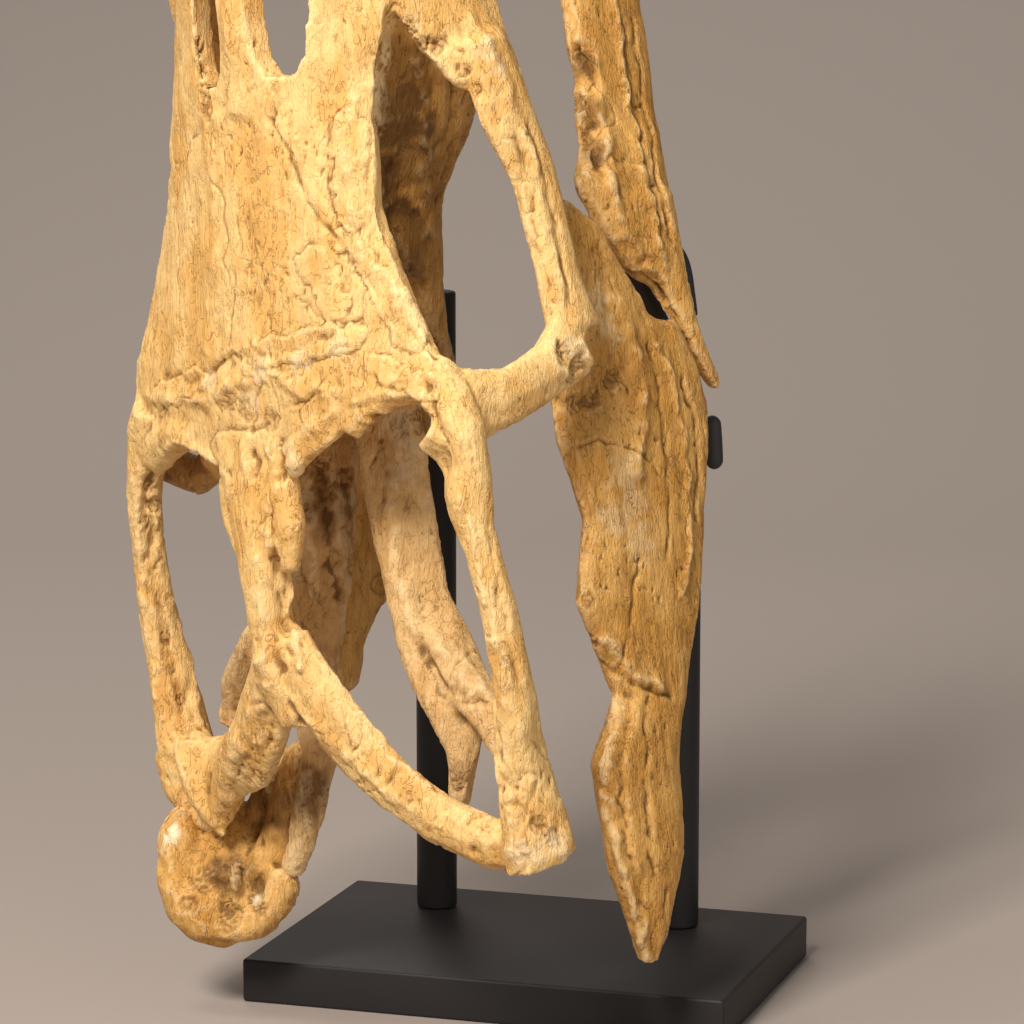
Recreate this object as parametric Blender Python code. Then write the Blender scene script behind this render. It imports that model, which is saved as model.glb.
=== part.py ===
"""Fossil mosasaur skull standing snout up on a steel plate stand, metres, +Z up.

The skull is drawn in its own frame in millimetres: r to the animal's right, v
from the skull roof down to the jaws, u along the skull towards the snout, with
the small hole of the skull roof at the origin. One turn and shift then puts it
on the stand. Origin of the part: middle of the underside of the plate.
"""
import math

import bmesh
import bpy
from mathutils import Matrix, Vector

for old in list(bpy.data.objects):
    bpy.data.objects.remove(old, do_unlink=True)

MM = 0.001
PLATE_WIDTH = 226.0
PLATE_DEPTH = 153.0
PLATE_THICKNESS = 20.0
PLATE_CORNER = 7.0
POST_DIAMETER = 19.0
POST_SPACING = 119.0
POST_BACK = 41.0
LEFT_POST_TOP = 314.0
RIGHT_POST_TOP = 262.0
ROD_RADIUS = 2.5
SLEEVE_RADIUS = 4.3
KERF = 0.4
GRAIN = 3.0

SKULL_TURN = math.radians(17.8)
SKULL_ROLL = math.radians(45.0)
SKULL_LEAN = math.radians(3.6)
SKULL_SIDE = -116.1
SKULL_AWAY = -140.0
SKULL_HEIGHT = 263.1
SKULL_SCALE = 0.978

side_dir = Vector((math.cos(SKULL_TURN), math.sin(SKULL_TURN), 0.0))
away_dir = Vector((-math.sin(SKULL_TURN), math.cos(SKULL_TURN), 0.0))
up_dir = Vector((0.0, 0.0, 1.0))
axis_u = up_dir * math.cos(SKULL_LEAN) - side_dir * math.sin(SKULL_LEAN)
axis_s = side_dir * math.cos(SKULL_LEAN) + up_dir * math.sin(SKULL_LEAN)
axis_r = axis_s * math.cos(SKULL_ROLL) - away_dir * math.sin(SKULL_ROLL)
axis_v = axis_s * math.sin(SKULL_ROLL) + away_dir * math.cos(SKULL_ROLL)
SKULL_ORIGIN = side_dir * SKULL_SIDE + away_dir * SKULL_AWAY + up_dir * SKULL_HEIGHT

TO_PART = Matrix((
    (axis_r.x, axis_v.x, axis_u.x, SKULL_ORIGIN.x),
    (axis_r.y, axis_v.y, axis_u.y, SKULL_ORIGIN.y),
    (axis_r.z, axis_v.z, axis_u.z, SKULL_ORIGIN.z),
    (0.0, 0.0, 0.0, 1.0))) @ Matrix.Scale(SKULL_SCALE, 4)


def material(name, colour, metallic, roughness):
    """A plain material of one colour."""
    made = bpy.data.materials.new(name)
    made.use_nodes = True
    shader = made.node_tree.nodes["Principled BSDF"]
    shader.inputs["Base Color"].default_value = colour
    shader.inputs["Metallic"].default_value = metallic
    shader.inputs["Roughness"].default_value = roughness
    made.diffuse_color = colour
    return made


def tube(mesh, stations, side, segments=10, power=2.0):
    """A closed rod through stations (r, v, u, half width along side, half depth)."""
    places = [Vector(s[:3]) for s in stations]
    rings = []
    for index, station in enumerate(stations):
        first = places[max(index - 1, 0)]
        last = places[min(index + 1, len(places) - 1)]
        tangent = (last - first).normalized()
        wide = (Vector(side) - tangent * Vector(side).dot(tangent)).normalized()
        deep = tangent.cross(wide)
        ring = []
        for step in range(segments):
            angle = 2.0 * math.pi * step / segments
            cosine = math.cos(angle)
            sine = math.sin(angle)
            x = math.copysign(abs(cosine) ** (2.0 / power), cosine) * station[3]
            y = math.copysign(abs(sine) ** (2.0 / power), sine) * station[4]
            ring.append(mesh.verts.new(places[index] + wide * x + deep * y))
        rings.append(ring)
    for lower, upper in zip(rings, rings[1:]):
        for step in range(segments):
            after = (step + 1) % segments
            mesh.faces.new((lower[step], lower[after], upper[after], upper[step]))
    mesh.faces.new(list(reversed(rings[0])))
    mesh.faces.new(rings[-1])


def sheet(mesh, rows, thickness):
    """A closed slab below a grid of points, thickened at right angles to it."""
    count = len(rows[0])
    top = [[Vector(p) for p in row] for row in rows]
    low = []
    for i, row in enumerate(top):
        line = []
        for j, place in enumerate(row):
            along = top[min(i + 1, len(top) - 1)][j] - top[max(i - 1, 0)][j]
            across = row[min(j + 1, count - 1)] - row[max(j - 1, 0)]
            normal = along.cross(across).normalized()
            line.append(place + normal * thickness)
        low.append(line)
    upper = [[mesh.verts.new(p) for p in row] for row in top]
    lower = [[mesh.verts.new(p) for p in row] for row in low]
    last = len(rows) - 1
    for i in range(last):
        for j in range(count - 1):
            mesh.faces.new((upper[i][j], upper[i][j + 1], upper[i + 1][j + 1], upper[i + 1][j]))
            mesh.faces.new((lower[i][j], lower[i + 1][j], lower[i + 1][j + 1], lower[i][j + 1]))
        for j in (0, count - 1):
            mesh.faces.new((upper[i][j], upper[i + 1][j], lower[i + 1][j], lower[i][j]))
    for i in (0, last):
        for j in range(count - 1):
            mesh.faces.new((upper[i][j], lower[i][j], lower[i][j + 1], upper[i][j + 1]))


def tooth(mesh, root, tip, width):
    """A pointed tooth from its root to its tip, a little bent towards the throat."""
    root = Vector(root)
    tip = Vector(tip)
    middle = root.lerp(tip, 0.55) + Vector((0.0, 0.0, width * 0.25))
    tube(mesh, [tuple(root) + (width * 0.5, width * 0.5), tuple(middle) + (width * 0.38, width * 0.38),
                tuple(tip) + (width * 0.10, width * 0.10)], (1.0, 0.0, 0.2), 7)


def grown(name, mesh, triangles, grain=GRAIN):
    """Melt the overlapping closed shells of a mesh into one skin of few triangles."""
    bmesh.ops.recalc_face_normals(mesh, faces=mesh.faces)
    data = bpy.data.meshes.new(name)
    mesh.to_mesh(data)
    mesh.free()
    item = bpy.data.objects.new(name, data)
    bpy.context.scene.collection.objects.link(item)
    melt = item.modifiers.new("melt", "REMESH")
    melt.mode = "VOXEL"
    melt.voxel_size = grain
    thin = item.modifiers.new("thin", "DECIMATE")
    thin.use_collapse_triangulate = True
    thin.ratio = 1.0
    total = triangle_count(item)
    thin.ratio = min(1.0, triangles / total)
    return settle(item)


def triangle_count(item):
    """How many triangles the finished mesh of an object has."""
    graph = bpy.context.evaluated_depsgraph_get()
    ready = item.evaluated_get(graph)
    data = ready.to_mesh()
    total = sum(len(p.vertices) - 2 for p in data.polygons)
    ready.to_mesh_clear()
    return total


def settle(item):
    """Turn the modifiers of an object into its mesh."""
    bpy.context.view_layer.update()
    graph = bpy.context.evaluated_depsgraph_get()
    data = bpy.data.meshes.new_from_object(item.evaluated_get(graph))
    item.modifiers.clear()
    item.data = data
    return item


def slab(centre, normal):
    """A large block whose face through centre looks against normal."""
    data = bpy.data.meshes.new("block")
    mesh = bmesh.new()
    bmesh.ops.create_cube(mesh, size=1500.0)
    turn = Vector((0.0, 0.0, 1.0)).rotation_difference(Vector(normal).normalized())
    shift = Vector(centre) + Vector(normal).normalized() * 750.0
    bmesh.ops.transform(mesh, matrix=Matrix.Translation(shift) @ turn.to_matrix().to_4x4(), verts=mesh.verts)
    mesh.to_mesh(data)
    mesh.free()
    block = bpy.data.objects.new("block", data)
    bpy.context.scene.collection.objects.link(block)
    return block


def piece(source, name, planes):
    """A copy of source without what lies beyond each plane (point, normal)."""
    item = bpy.data.objects.new(name, source.data.copy())
    bpy.context.scene.collection.objects.link(item)
    for centre, normal in planes:
        unit = Vector(normal).normalized()
        block = slab(Vector(centre) - unit * KERF * 0.5, unit)
        cut = item.modifiers.new("cut", "BOOLEAN")
        cut.operation = "DIFFERENCE"
        cut.solver = "EXACT"
        cut.object = block
        settle(item)
        bpy.data.objects.remove(block, do_unlink=True)
    keep_largest(item)
    return item


def keep_largest(item):
    """Drop loose crumbs beside the largest body and weld tiny edges."""
    mesh = bmesh.new()
    mesh.from_mesh(item.data)
    bmesh.ops.remove_doubles(mesh, verts=mesh.verts, dist=0.05)
    bmesh.ops.dissolve_degenerate(mesh, edges=mesh.edges, dist=0.05)
    waiting = set(mesh.verts)
    groups = []
    while waiting:
        start = waiting.pop()
        group = {start}
        border = [start]
        while border:
            vertex = border.pop()
            for edge in vertex.link_edges:
                other = edge.other_vert(vertex)
                if other in waiting:
                    waiting.discard(other)
                    group.add(other)
                    border.append(other)
        groups.append(group)
    groups.sort(key=len, reverse=True)
    for group in groups[1:]:
        bmesh.ops.delete(mesh, geom=list(group), context="VERTS")
    bmesh.ops.triangulate(mesh, faces=mesh.faces)
    bmesh.ops.recalc_face_normals(mesh, faces=mesh.faces)
    mesh.to_mesh(item.data)
    mesh.free()


def finish(item, made, smooth=True):
    """Put a bone in place on the stand and give it its material."""
    item.data.transform(Matrix.Scale(MM, 4) @ TO_PART)
    item.data.materials.clear()
    item.data.materials.append(made)
    for polygon in item.data.polygons:
        polygon.use_smooth = smooth
        polygon.material_index = 0


def mirrored(stations):
    """The same stations on the animal's left."""
    return [(-s[0],) + tuple(s[1:]) for s in stations]


BONE_ROOF = material("fossil_bone_roof", (0.42, 0.26, 0.12, 1.0), 0.0, 0.7)
BONE_DEEP = material("fossil_bone_deep", (0.26, 0.14, 0.06, 1.0), 0.0, 0.7)
BLACK_STEEL = material("black_painted_steel", (0.02, 0.02, 0.022, 1.0), 0.0, 0.4)
BLACK_RUBBER = material("black_rubber", (0.015, 0.015, 0.015, 1.0), 0.0, 0.85)

# Cranium: roof rows (u, half width, edge drop, middle drop), front to back.
ROOF = (
    (396.0, 7.0, 24.0, 14.0), (380.0, 17.0, 26.0, 8.0), (350.0, 27.0, 28.0, 3.0), (310.0, 38.0, 31.0, 0.0),
    (270.0, 49.0, 34.0, -2.0), (235.0, 60.0, 35.0, -2.0), (199.0, 67.0, 33.0, -1.0), (170.0, 66.0, 27.0, 0.0),
    (140.0, 66.0, 21.0, 0.0), (110.0, 68.0, 17.5, 0.0), (86.0, 76.0, 18.0, 0.0), (62.0, 87.0, 19.0, 0.0),
    (35.0, 98.0, 18.0, 0.0), (14.0, 100.0, 19.0, 1.0), (2.0, 98.0, 21.0, 2.0))
STEPS = (-1.0, -0.86, -0.6, -0.3, 0.0, 0.3, 0.6, 0.86, 1.0)
# The hind margin runs further forward over the right window of the roof.
MARGIN = {
    35.0: (0.0, 2.0, 2.0, 0.0, 0.0, 2.0, 7.0, 10.0, 8.0),
    14.0: (2.0, 4.0, 3.0, -1.0, -4.0, 2.0, 15.0, 21.0, 15.0),
    2.0: (-2.0, 4.0, 3.0, -6.0, -12.0, 2.0, 19.0, 26.0, 17.0)}


def roof_rows():
    """The grid of points on the upper side of the skull roof."""
    rows = []
    for u, half, drop, middle in ROOF:
        row = []
        for step, shift in zip(STEPS, MARGIN.get(u, (0.0,) * 9)):
            row.append((half * step, middle + (drop - middle) * abs(step) ** 2.2, u + shift))
        rows.append(row)
    return rows


# Side walls of the snout: (u, r top, v top, r foot, v foot).
WALL = (
    (396.0, 6.0, 22.0, 8.0, 44.0), (378.0, 16.0, 24.0, 17.0, 56.0), (350.0, 26.0, 28.0, 28.0, 66.0),
    (310.0, 37.0, 30.0, 41.0, 75.0), (270.0, 48.0, 33.0, 53.0, 82.0), (235.0, 59.0, 34.0, 64.0, 87.0),
    (199.0, 66.0, 33.0, 73.0, 90.0), (176.0, 71.0, 44.0, 79.0, 91.0), (156.0, 79.0, 58.0, 86.0, 92.0))


def wall_rows(sign):
    """The grid of points on the outer side of one upper jaw wall."""
    rows = []
    for u, r0, v0, r1, v1 in WALL:
        row = []
        for step in range(5):
            t = step / 4.0
            bulge = 4.0 * t * (1.0 - t) * min(6.0, (v1 - v0) * 0.1)
            row.append((sign * (r0 + (r1 - r0) * t + bulge), v0 + (v1 - v0) * t, u))
        rows.append(row)
    return rows


cranium = bmesh.new()
sheet(cranium, [list(reversed(row)) for row in roof_rows()], 11.0)
for sign in (-1.0, 1.0):
    grid = wall_rows(sign)
    if sign < 0.0:
        sheet(cranium, [list(reversed(row)) for row in grid], 8.0)
    else:
        sheet(cranium, grid, -8.0)

# Midline keel of the snout and the snout tip.
tube(cranium, [(0, 4, 330, 9, 9), (3, 4, 270, 8, 9), (7, 5, 200, 6, 9), (3, 6, 150, 10, 8)], (1, 0, 0))
tube(cranium, [(0, 30, 330, 24, 22), (0, 31, 365, 20, 20), (0, 31, 388, 12, 15), (0, 31, 401, 5, 9)], (1, 0, 0), 12)

JUGAL = [(80, 72, 176, 7, 14), (86, 76, 150, 6.5, 16), (92, 88, 114, 6.5, 13), (98, 92, 74, 6.5, 12),
         (101, 97, 48, 8, 15)]
POSTORBITAL = [(90, 22, 26, 9, 21), (99, 34, 25, 7.5, 17), (104, 54, 27, 6.5, 13), (104, 76, 34, 7, 13),
               (101, 96, 44, 9, 17)]
TEMPORAL = [(88, 20, 16, 11, 12), (100, 23, 0, 10, 10), (108, 25, -28, 8, 9), (113, 30, -60, 8, 9),
            (114, 34, -90, 8.5, 10), (112, 38, -120, 9, 13), (112, 42, -146, 11, 16), (112, 47, -172, 13, 19)]
RAMUS = [(2, 9, -78, 9, 11), (15, 13, -104, 8, 15), (29, 19, -126, 8, 15), (46, 26, -143, 7.5, 14),
         (66, 33, -157, 7.5, 13), (88, 41, -166, 9, 12), (106, 48, -167, 11, 13)]
LEFT_ARCH = [(-46, 9, 8, 7, 8), (-60, 12, 8, 8, 8), (-78, 17, 3, 8, 11), (-99, 23, -6, 8, 12)]
RIGHT_ARCH = [(50, 10, 16, 6, 6), (70, 15, 31, 7, 6), (88, 20, 34, 8, 7), (99, 24, 22, 8, 9)]
LEFT_RAMUS = [(-2, 9, -78, 9, 11), (-14, 13, -103, 8, 16), (-30, 18, -123, 8, 17), (-48, 25, -140, 8, 17),
              (-68, 32, -149, 8, 15), (-90, 40, -153, 9, 12), (-106, 47, -156, 10, 11)]
# The pointed plate in which the left bar and the left limb end, in front of the quadrate.
LEFT_TIP = [(-88, 38, -138, 20, 8), (-84, 35, -153, 19, 7.5), (-82, 33, -166, 14, 7), (-80, 32, -175, 8, 5.5),
            (-80, 32, -180, 3.5, 4)]
LEFT_JUGAL = [(-80, 66, 176, 7, 14), (-86, 65, 150, 6.5, 16), (-92, 76, 114, 6.5, 13), (-98, 84, 74, 6.5, 12),
              (-101, 95, 48, 8, 15)]
LEFT_TEMPORAL = mirrored(TEMPORAL[:-1]) + [(-112, 45, -162, 12, 16), (-110, 43, -169, 9, 10)]
for shape in (JUGAL, POSTORBITAL, TEMPORAL, LEFT_JUGAL, mirrored(POSTORBITAL), LEFT_TEMPORAL):
    tube(cranium, shape, (1, 0, 0))
tube(cranium, RAMUS, (0, 1, 0))
tube(cranium, LEFT_RAMUS, (0, 1, 0))
tube(cranium, LEFT_TIP, (1, 1, 0))
tube(cranium, LEFT_ARCH, (0, 1, 0))
tube(cranium, RIGHT_ARCH, (0, 1, 0))

# Parietal: narrow table and crest behind the hole of the roof.
tube(cranium, [(-4, 8, 22, 52, 7), (-7, 8, 6, 36, 7), (-9, 7, -10, 20, 8), (-8, 6, -28, 16, 9), (-8, 6, -46, 13, 10),
               (-7, 7, -64, 10, 11), (-6, 9, -84, 9, 12), (-2, 12, -102, 11, 12), (0, 14, -118, 8, 9)],
     (1, 0, 0), 12)

for index in range(10):
    u = 372.0 - index * 19.0
    half = 0.0
    foot = 0.0
    for (u0, _, _, r0, v0), (u1, _, _, r1, v1) in zip(WALL, WALL[1:]):
        if u1 <= u <= u0:
            t = (u0 - u) / (u0 - u1)
            half = r0 + (r1 - r0) * t
            foot = v0 + (v1 - v0) * t
    size = 8.5 - 0.12 * abs(index - 3)
    for sign in (-1.0, 1.0):
        tooth(cranium, (sign * (half - 4.0), foot - 6.0, u), (sign * (half + 0.0), foot + 20.0, u - 6.0), size)

skull = grown("skull", cranium, 3612)

nares = []
for sign in (-1.0, 1.0):
    hole = bmesh.new()
    if sign > 0.0:
        path = [(27, -20, 226, 15, 62), (27, 9, 226, 15, 62), (25, 40, 228, 13, 60), (25, 70, 228, 13, 60)]
    else:
        path = [(-12, -20, 226, 10, 66), (-14, 9, 226, 10, 66), (-17, 40, 228, 10, 60), (-17, 70, 228, 10, 60)]
    tube(hole, path, (1, 0, 0), 14, 3.2)
    data = bpy.data.meshes.new("nares")
    bmesh.ops.recalc_face_normals(hole, faces=hole.faces)
    hole.to_mesh(data)
    hole.free()
    cutter = bpy.data.objects.new("nares", data)
    bpy.context.scene.collection.objects.link(cutter)
    cut = skull.modifiers.new("cut", "BOOLEAN")
    cut.operation = "DIFFERENCE"
    cut.solver = "EXACT"
    cut.object = cutter
    settle(skull)
    bpy.data.objects.remove(cutter, do_unlink=True)

# Planes between bones: a point and the direction of the side that is cut away.
bones = []
bones.append((piece(skull, "snout", [((0, 0, 160), (0, 0, -1))]), BONE_ROOF))
SIDE_R = ((97, 40, 26), (0.6, 0.8, 0.2))
SIDE_L = ((-97, 40, 26), (-0.6, 0.8, 0.2))
INNER_R = ((62, 0, 24), (176.0, 0.0, 28.0))
INNER_L = ((-62, 0, 24), (-176.0, 0.0, 28.0))


def other(plane):
    """The same plane with the other side cut away."""
    return (plane[0], tuple(-x for x in plane[1]))


ABOVE = ((0, 0, 160), (0, 0, 1))
BELOW = ((0, 0, 24), (0, 0, -1))
bones.append((piece(skull, "frontal", [ABOVE, BELOW, SIDE_R, SIDE_L]), BONE_ROOF))
bones.append((piece(skull, "right_jugal", [ABOVE, other(SIDE_R)]), BONE_ROOF))
bones.append((piece(skull, "left_jugal", [ABOVE, other(SIDE_L)]), BONE_ROOF))
bones.append((piece(skull, "parietal", [other(BELOW), INNER_R, INNER_L]), BONE_ROOF))
bones.append((piece(skull, "right_temporal_bar", [other(BELOW), other(INNER_R), SIDE_R]), BONE_ROOF))
bones.append((piece(skull, "left_temporal_bar", [other(BELOW), other(INNER_L), SIDE_L]), BONE_ROOF))
bpy.data.objects.remove(skull, do_unlink=True)

# Bones of the palate, a broad plate with one limb to the side and one backwards.
PLATE_BONE = [(10, 76, 158, 8, 5), (10, 68, 110, 9, 5), (14, 63, 60, 12, 5), (20, 60, 10, 17, 5),
              (22, 60, -8, 17, 5), (27, 60, -40, 16, 6), (32, 60, -68, 15, 6), (44, 60, -94, 18, 6),
              (55, 59, -114, 16, 6), (56, 58, -134, 8, 6), (48, 61, -160, 5, 5)]
SIDE_LIMB = [(38, 60, -76, 9, 6), (58, 59, -100, 11, 6), (80, 57, -120, 9, 6), (92, 57, -138, 6, 5)]
LEFT_PLATE = mirrored(PLATE_BONE[:8]) + [(-40, 58, -118, 10, 6), (-37, 57, -146, 9, 6),
                                      (-44, 55, -168, 8, 6), (-50, 53, -188, 7, 5)]
LEFT_LIMB = [(-46, 60, -70, 10, 6), (-68, 58, -94, 13, 6), (-84, 57, -118, 13, 6), (-94, 56, -138, 8, 5)]
for name, shapes in (("right_pterygoid", (PLATE_BONE, SIDE_LIMB)), ("left_pterygoid", (LEFT_PLATE, LEFT_LIMB))):
    palate = bmesh.new()
    for shape in shapes:
        tube(palate, shape, (1, 1, 0) if name[0] == "r" else (-1, -1, 0))
    bones.append((grown(name, palate, 380), BONE_DEEP))

# Left quadrate, a thick shell with a rim, hung below the end of the temporal bar.
quadrate = bmesh.new()
tube(quadrate, [(-110, 38, -179.5, 13, 6), (-104, 41, -184, 25, 8.5), (-98, 40, -194, 29.5, 11),
                (-89, 41, -205, 33, 12), (-84, 41, -216, 32, 12), (-82, 41, -226, 25, 11),
                (-79, 42, -232.5, 12, 7)], (1, 1, 0), 14, 2.2)
bones.append((grown("left_quadrate", quadrate, 340), BONE_DEEP))

# Lower jaws: (r, v, u, half thickness, half height).
DENTARY = [(8, 224, 394, 5, 8), (12, 221, 376, 7, 13), (22, 212, 330, 8, 17), (33, 200, 270, 8, 20),
           (42, 188, 215, 8, 23), (47, 181, 185, 8, 24.5), (58, 175, 134, 8, 25), (69, 166, 105, 8, 28),
           (73, 166.5, 93, 8, 26), (75, 171, 81, 8, 21), (76, 174, 72.5, 8, 18.5), (78, 182, 60, 7, 10.5),
           (80, 185, 45, 6.5, 8), (82, 190.5, 30, 6, 5), (84, 198, 16, 5, 4), (85, 202.5, 8, 4, 3)]
HIND_JAW = [(78, 113, 101, 5, 5), (79, 118, 88, 7, 15), (80, 123, 77, 8, 19.5), (80, 128, 66, 8, 24.5),
            (82, 131, 50, 8, 29.5), (83, 130, 39, 8, 34), (84, 138, 26, 8, 44), (86, 142.5, 12, 8, 48),
            (88, 144, 0, 7.5, 49.5), (92, 143, -40, 7.5, 39), (95, 133, -75, 8, 40), (97, 134, -104, 8.5, 26),
            (98, 133, -120, 9, 21), (100, 119, -146, 10, 26), (104, 119, -188, 9, 23), (105, 117, -222, 6, 10),
            (105, 115, -234, 4, 5)]
BROKEN = [(96, 130, -96, 7, 22), (97, 128, -112, 6, 16), (97, 133, -132, 4, 6)]
LEFT_SHIFT = 12.0
# The left jaw shows as a higher bone through the eye socket.
LEFT_HIGHER = 9.0


def jaw_row(stations, sign):
    """The stations of one lower jaw; the left one is pushed inwards further back."""
    row = []
    for r, v, u, thick, high in stations:
        shift = 0.0 if sign > 0.0 else LEFT_SHIFT * min(1.0, max(0.0, (340.0 - u) / 180.0))
        higher = 0.0 if sign > 0.0 else LEFT_HIGHER * min(1.0, max(0.0, min((330.0 - u) / 70.0, (u - 104.0) / 30.0)))
        row.append((sign * r + shift, v - shift - higher, u, thick, high + higher))
    return row


for name, sign in (("right", 1.0), ("left", -1.0)):
    jaw = bmesh.new()
    stations = jaw_row(DENTARY, sign)
    tube(jaw, stations, (1, 0, 0), 12, 2.6)
    for index in range(9):
        u = 374.0 - index * 20.0
        for first, last in zip(stations, stations[1:]):
            if last[2] <= u <= first[2]:
                t = (first[2] - u) / (first[2] - last[2])
                r = first[0] + (last[0] - first[0]) * t
                v = first[1] + (last[1] - first[1]) * t - first[4] - (last[4] - first[4]) * t
        tooth(jaw, (r, v + 7.0, u), (r + sign, v - 18.0, u - 6.0), 8.5)
    bones.append((grown(name + "_dentary", jaw, 640), BONE_DEEP))
    jaw = bmesh.new()
    shape = HIND_JAW if sign > 0.0 else HIND_JAW[:11] + BROKEN
    tube(jaw, jaw_row(shape, sign), (1, 0, 0), 12, 2.6)
    bones.append((grown(name + "_hind_jaw", jaw, 420), BONE_DEEP))

for item, made in bones:
    finish(item, made)
    print("BONE", item.name, len(item.data.polygons))


def steel_object(name, mesh, made, smooth):
    """One part of the stand, drawn in millimetres in the frame of the part."""
    data = bpy.data.meshes.new(name)
    bmesh.ops.recalc_face_normals(mesh, faces=mesh.faces)
    mesh.to_mesh(data)
    mesh.free()
    data.transform(Matrix.Scale(MM, 4))
    item = bpy.data.objects.new(name, data)
    bpy.context.scene.collection.objects.link(item)
    data.materials.append(made)
    for polygon in data.polygons:
        polygon.use_smooth = smooth
    return item


plate = bmesh.new()
outline = []
for cx, cy, start in ((1, 1, 0), (-1, 1, 90), (-1, -1, 180), (1, -1, 270)):
    for step in range(5):
        angle = math.radians(start + 22.5 * step)
        outline.append((cx * (PLATE_WIDTH / 2 - PLATE_CORNER) + PLATE_CORNER * math.cos(angle),
                        cy * (PLATE_DEPTH / 2 - PLATE_CORNER) + PLATE_CORNER * math.sin(angle)))
layers = []
for inset, z in ((0.6, 0.0), (0.0, 0.6), (0.0, PLATE_THICKNESS - 1.2), (1.2, PLATE_THICKNESS)):
    fx = 1.0 - 2.0 * inset / PLATE_WIDTH
    fy = 1.0 - 2.0 * inset / PLATE_DEPTH
    layers.append([plate.verts.new((x * fx, y * fy, z)) for x, y in outline])
for low, high in zip(layers, layers[1:]):
    for step in range(len(outline)):
        after = (step + 1) % len(outline)
        plate.faces.new((low[step], low[after], high[after], high[step]))
plate.faces.new(list(reversed(layers[0])))
plate.faces.new(layers[-1])
steel_object("base_plate", plate, BLACK_STEEL, False)


def post(name, x, y, top):
    """A round post standing on the plate, its upper edge a little rounded."""
    mesh = bmesh.new()
    radius = POST_DIAMETER / 2.0
    rings = []
    for size, z in ((radius, PLATE_THICKNESS + 0.3), (radius, top - 1.5), (radius - 1.5, top)):
        rings.append([mesh.verts.new((x + size * math.cos(math.radians(15.0 * k)),
                                      y + size * math.sin(math.radians(15.0 * k)), z)) for k in range(24)])
    for low, high in zip(rings, rings[1:]):
        for step in range(24):
            after = (step + 1) % 24
            mesh.faces.new((low[step], low[after], high[after], high[step]))
    mesh.faces.new(list(reversed(rings[0])))
    mesh.faces.new(rings[-1])
    return steel_object(name, mesh, BLACK_STEEL, True)


post("left_post", -POST_SPACING / 2.0, POST_BACK, LEFT_POST_TOP)
post("right_post", POST_SPACING / 2.0, POST_BACK, RIGHT_POST_TOP)


def rod(name, path, made, radius=ROD_RADIUS, segments=12):
    """A round bar along a path in the frame of the skull."""
    mesh = bmesh.new()
    tube(mesh, [tuple(p) + (radius, radius) for p in path], (0.37, 0.61, 0.7), segments)
    mesh.transform(TO_PART)
    return steel_object(name, mesh, made, True)


def capsule(name, first, last, radius, made):
    """A rubber covered finger with round ends."""
    first = Vector(first)
    last = Vector(last)
    along = (last - first).normalized()
    stations = []
    for angle in (80, 55, 25, 0):
        shift = along * -radius * math.sin(math.radians(angle))
        size = radius * math.cos(math.radians(angle))
        stations.append(tuple(first + shift) + (size, size))
    for angle in (0, 25, 55, 80):
        shift = along * radius * math.sin(math.radians(angle))
        size = radius * math.cos(math.radians(angle))
        stations.append(tuple(last + shift) + (size, size))
    mesh = bmesh.new()
    tube(mesh, stations, (0.71, 0.7, 0.0), 14)
    mesh.transform(TO_PART)
    return steel_object(name, mesh, made, True)


def curve(path, parts):
    """A smooth run of points through a path."""
    points = [Vector(p) for p in path]
    ends = [points[0]] + points + [points[-1]]
    run = []
    for index in range(1, len(ends) - 2):
        p0, p1, p2, p3 = ends[index - 1:index + 3]
        for step in range(parts):
            t = step / parts
            run.append(0.5 * (2.0 * p1 + (p2 - p0) * t + (2.0 * p0 - 5.0 * p1 + 4.0 * p2 - p3) * t * t
                              + (3.0 * p1 - p0 - 3.0 * p2 + p3) * t * t * t))
    run.append(points[-1])
    return run


def sleeve(name, path, radius, made):
    """A rubber covered length of bar along a path, rounded at its tip."""
    run = curve(path, 2)
    along = (run[-1] - run[-2]).normalized()
    stations = [tuple(p) + (radius, radius) for p in run]
    for angle in (30, 58, 80):
        size = radius * math.cos(math.radians(angle))
        stations.append(tuple(run[-1] + along * radius * math.sin(math.radians(angle))) + (size, size))
    mesh = bmesh.new()
    tube(mesh, stations, (1.0, 0.02, 0.01), 12)
    mesh.transform(TO_PART)
    return steel_object(name, mesh, made, True)


LOOP_FOOT = [(19, 249, -8), (21, 247, 6), (34, 238, 18), (50, 224, 29), (56.9, 216.4, 37.2)]
LOOP = [(58, 215.2, 39.4), (60.3, 211.7, 50), (60.5, 209.5, 63), (60.5, 201.5, 73), (60.5, 189.5, 77),
        (60.5, 178.5, 73.5), (60.5, 177, 65), (61, 184, 53), (62, 193, 37), (63, 197, 29)]
rod("jaw_loop_rod", LOOP_FOOT, BLACK_STEEL)
sleeve("jaw_loop_sleeve", LOOP, SLEEVE_RADIUS, BLACK_RUBBER)
rod("jaw_stop_rod", [(27, 241.5, -37), (50, 228, -32), (66, 214.5, -23), (75.2, 206.9, -18.6)], BLACK_STEEL)
capsule("jaw_stop_sleeve", (80, 203, -24.5), (80, 203, -8.5), SLEEVE_RADIUS, BLACK_RUBBER)
rod("cranium_arm", [(-80.6, 202.6, 1), (-60, 188, 4), (-20, 160, 9), (60, 89, 18), (84.4, 66.2, 22.0)], BLACK_STEEL)
capsule("cranium_sleeve", (89, 62, 17), (89, 62, 29), 4.6, BLACK_RUBBER)
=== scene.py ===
"""Fossil mosasaur skull on its steel stand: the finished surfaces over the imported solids."""

import math

import bmesh
import bpy
import numpy as np
from bpy.props import FloatProperty, FloatVectorProperty, PointerProperty
from mathutils import Matrix, Vector


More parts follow.
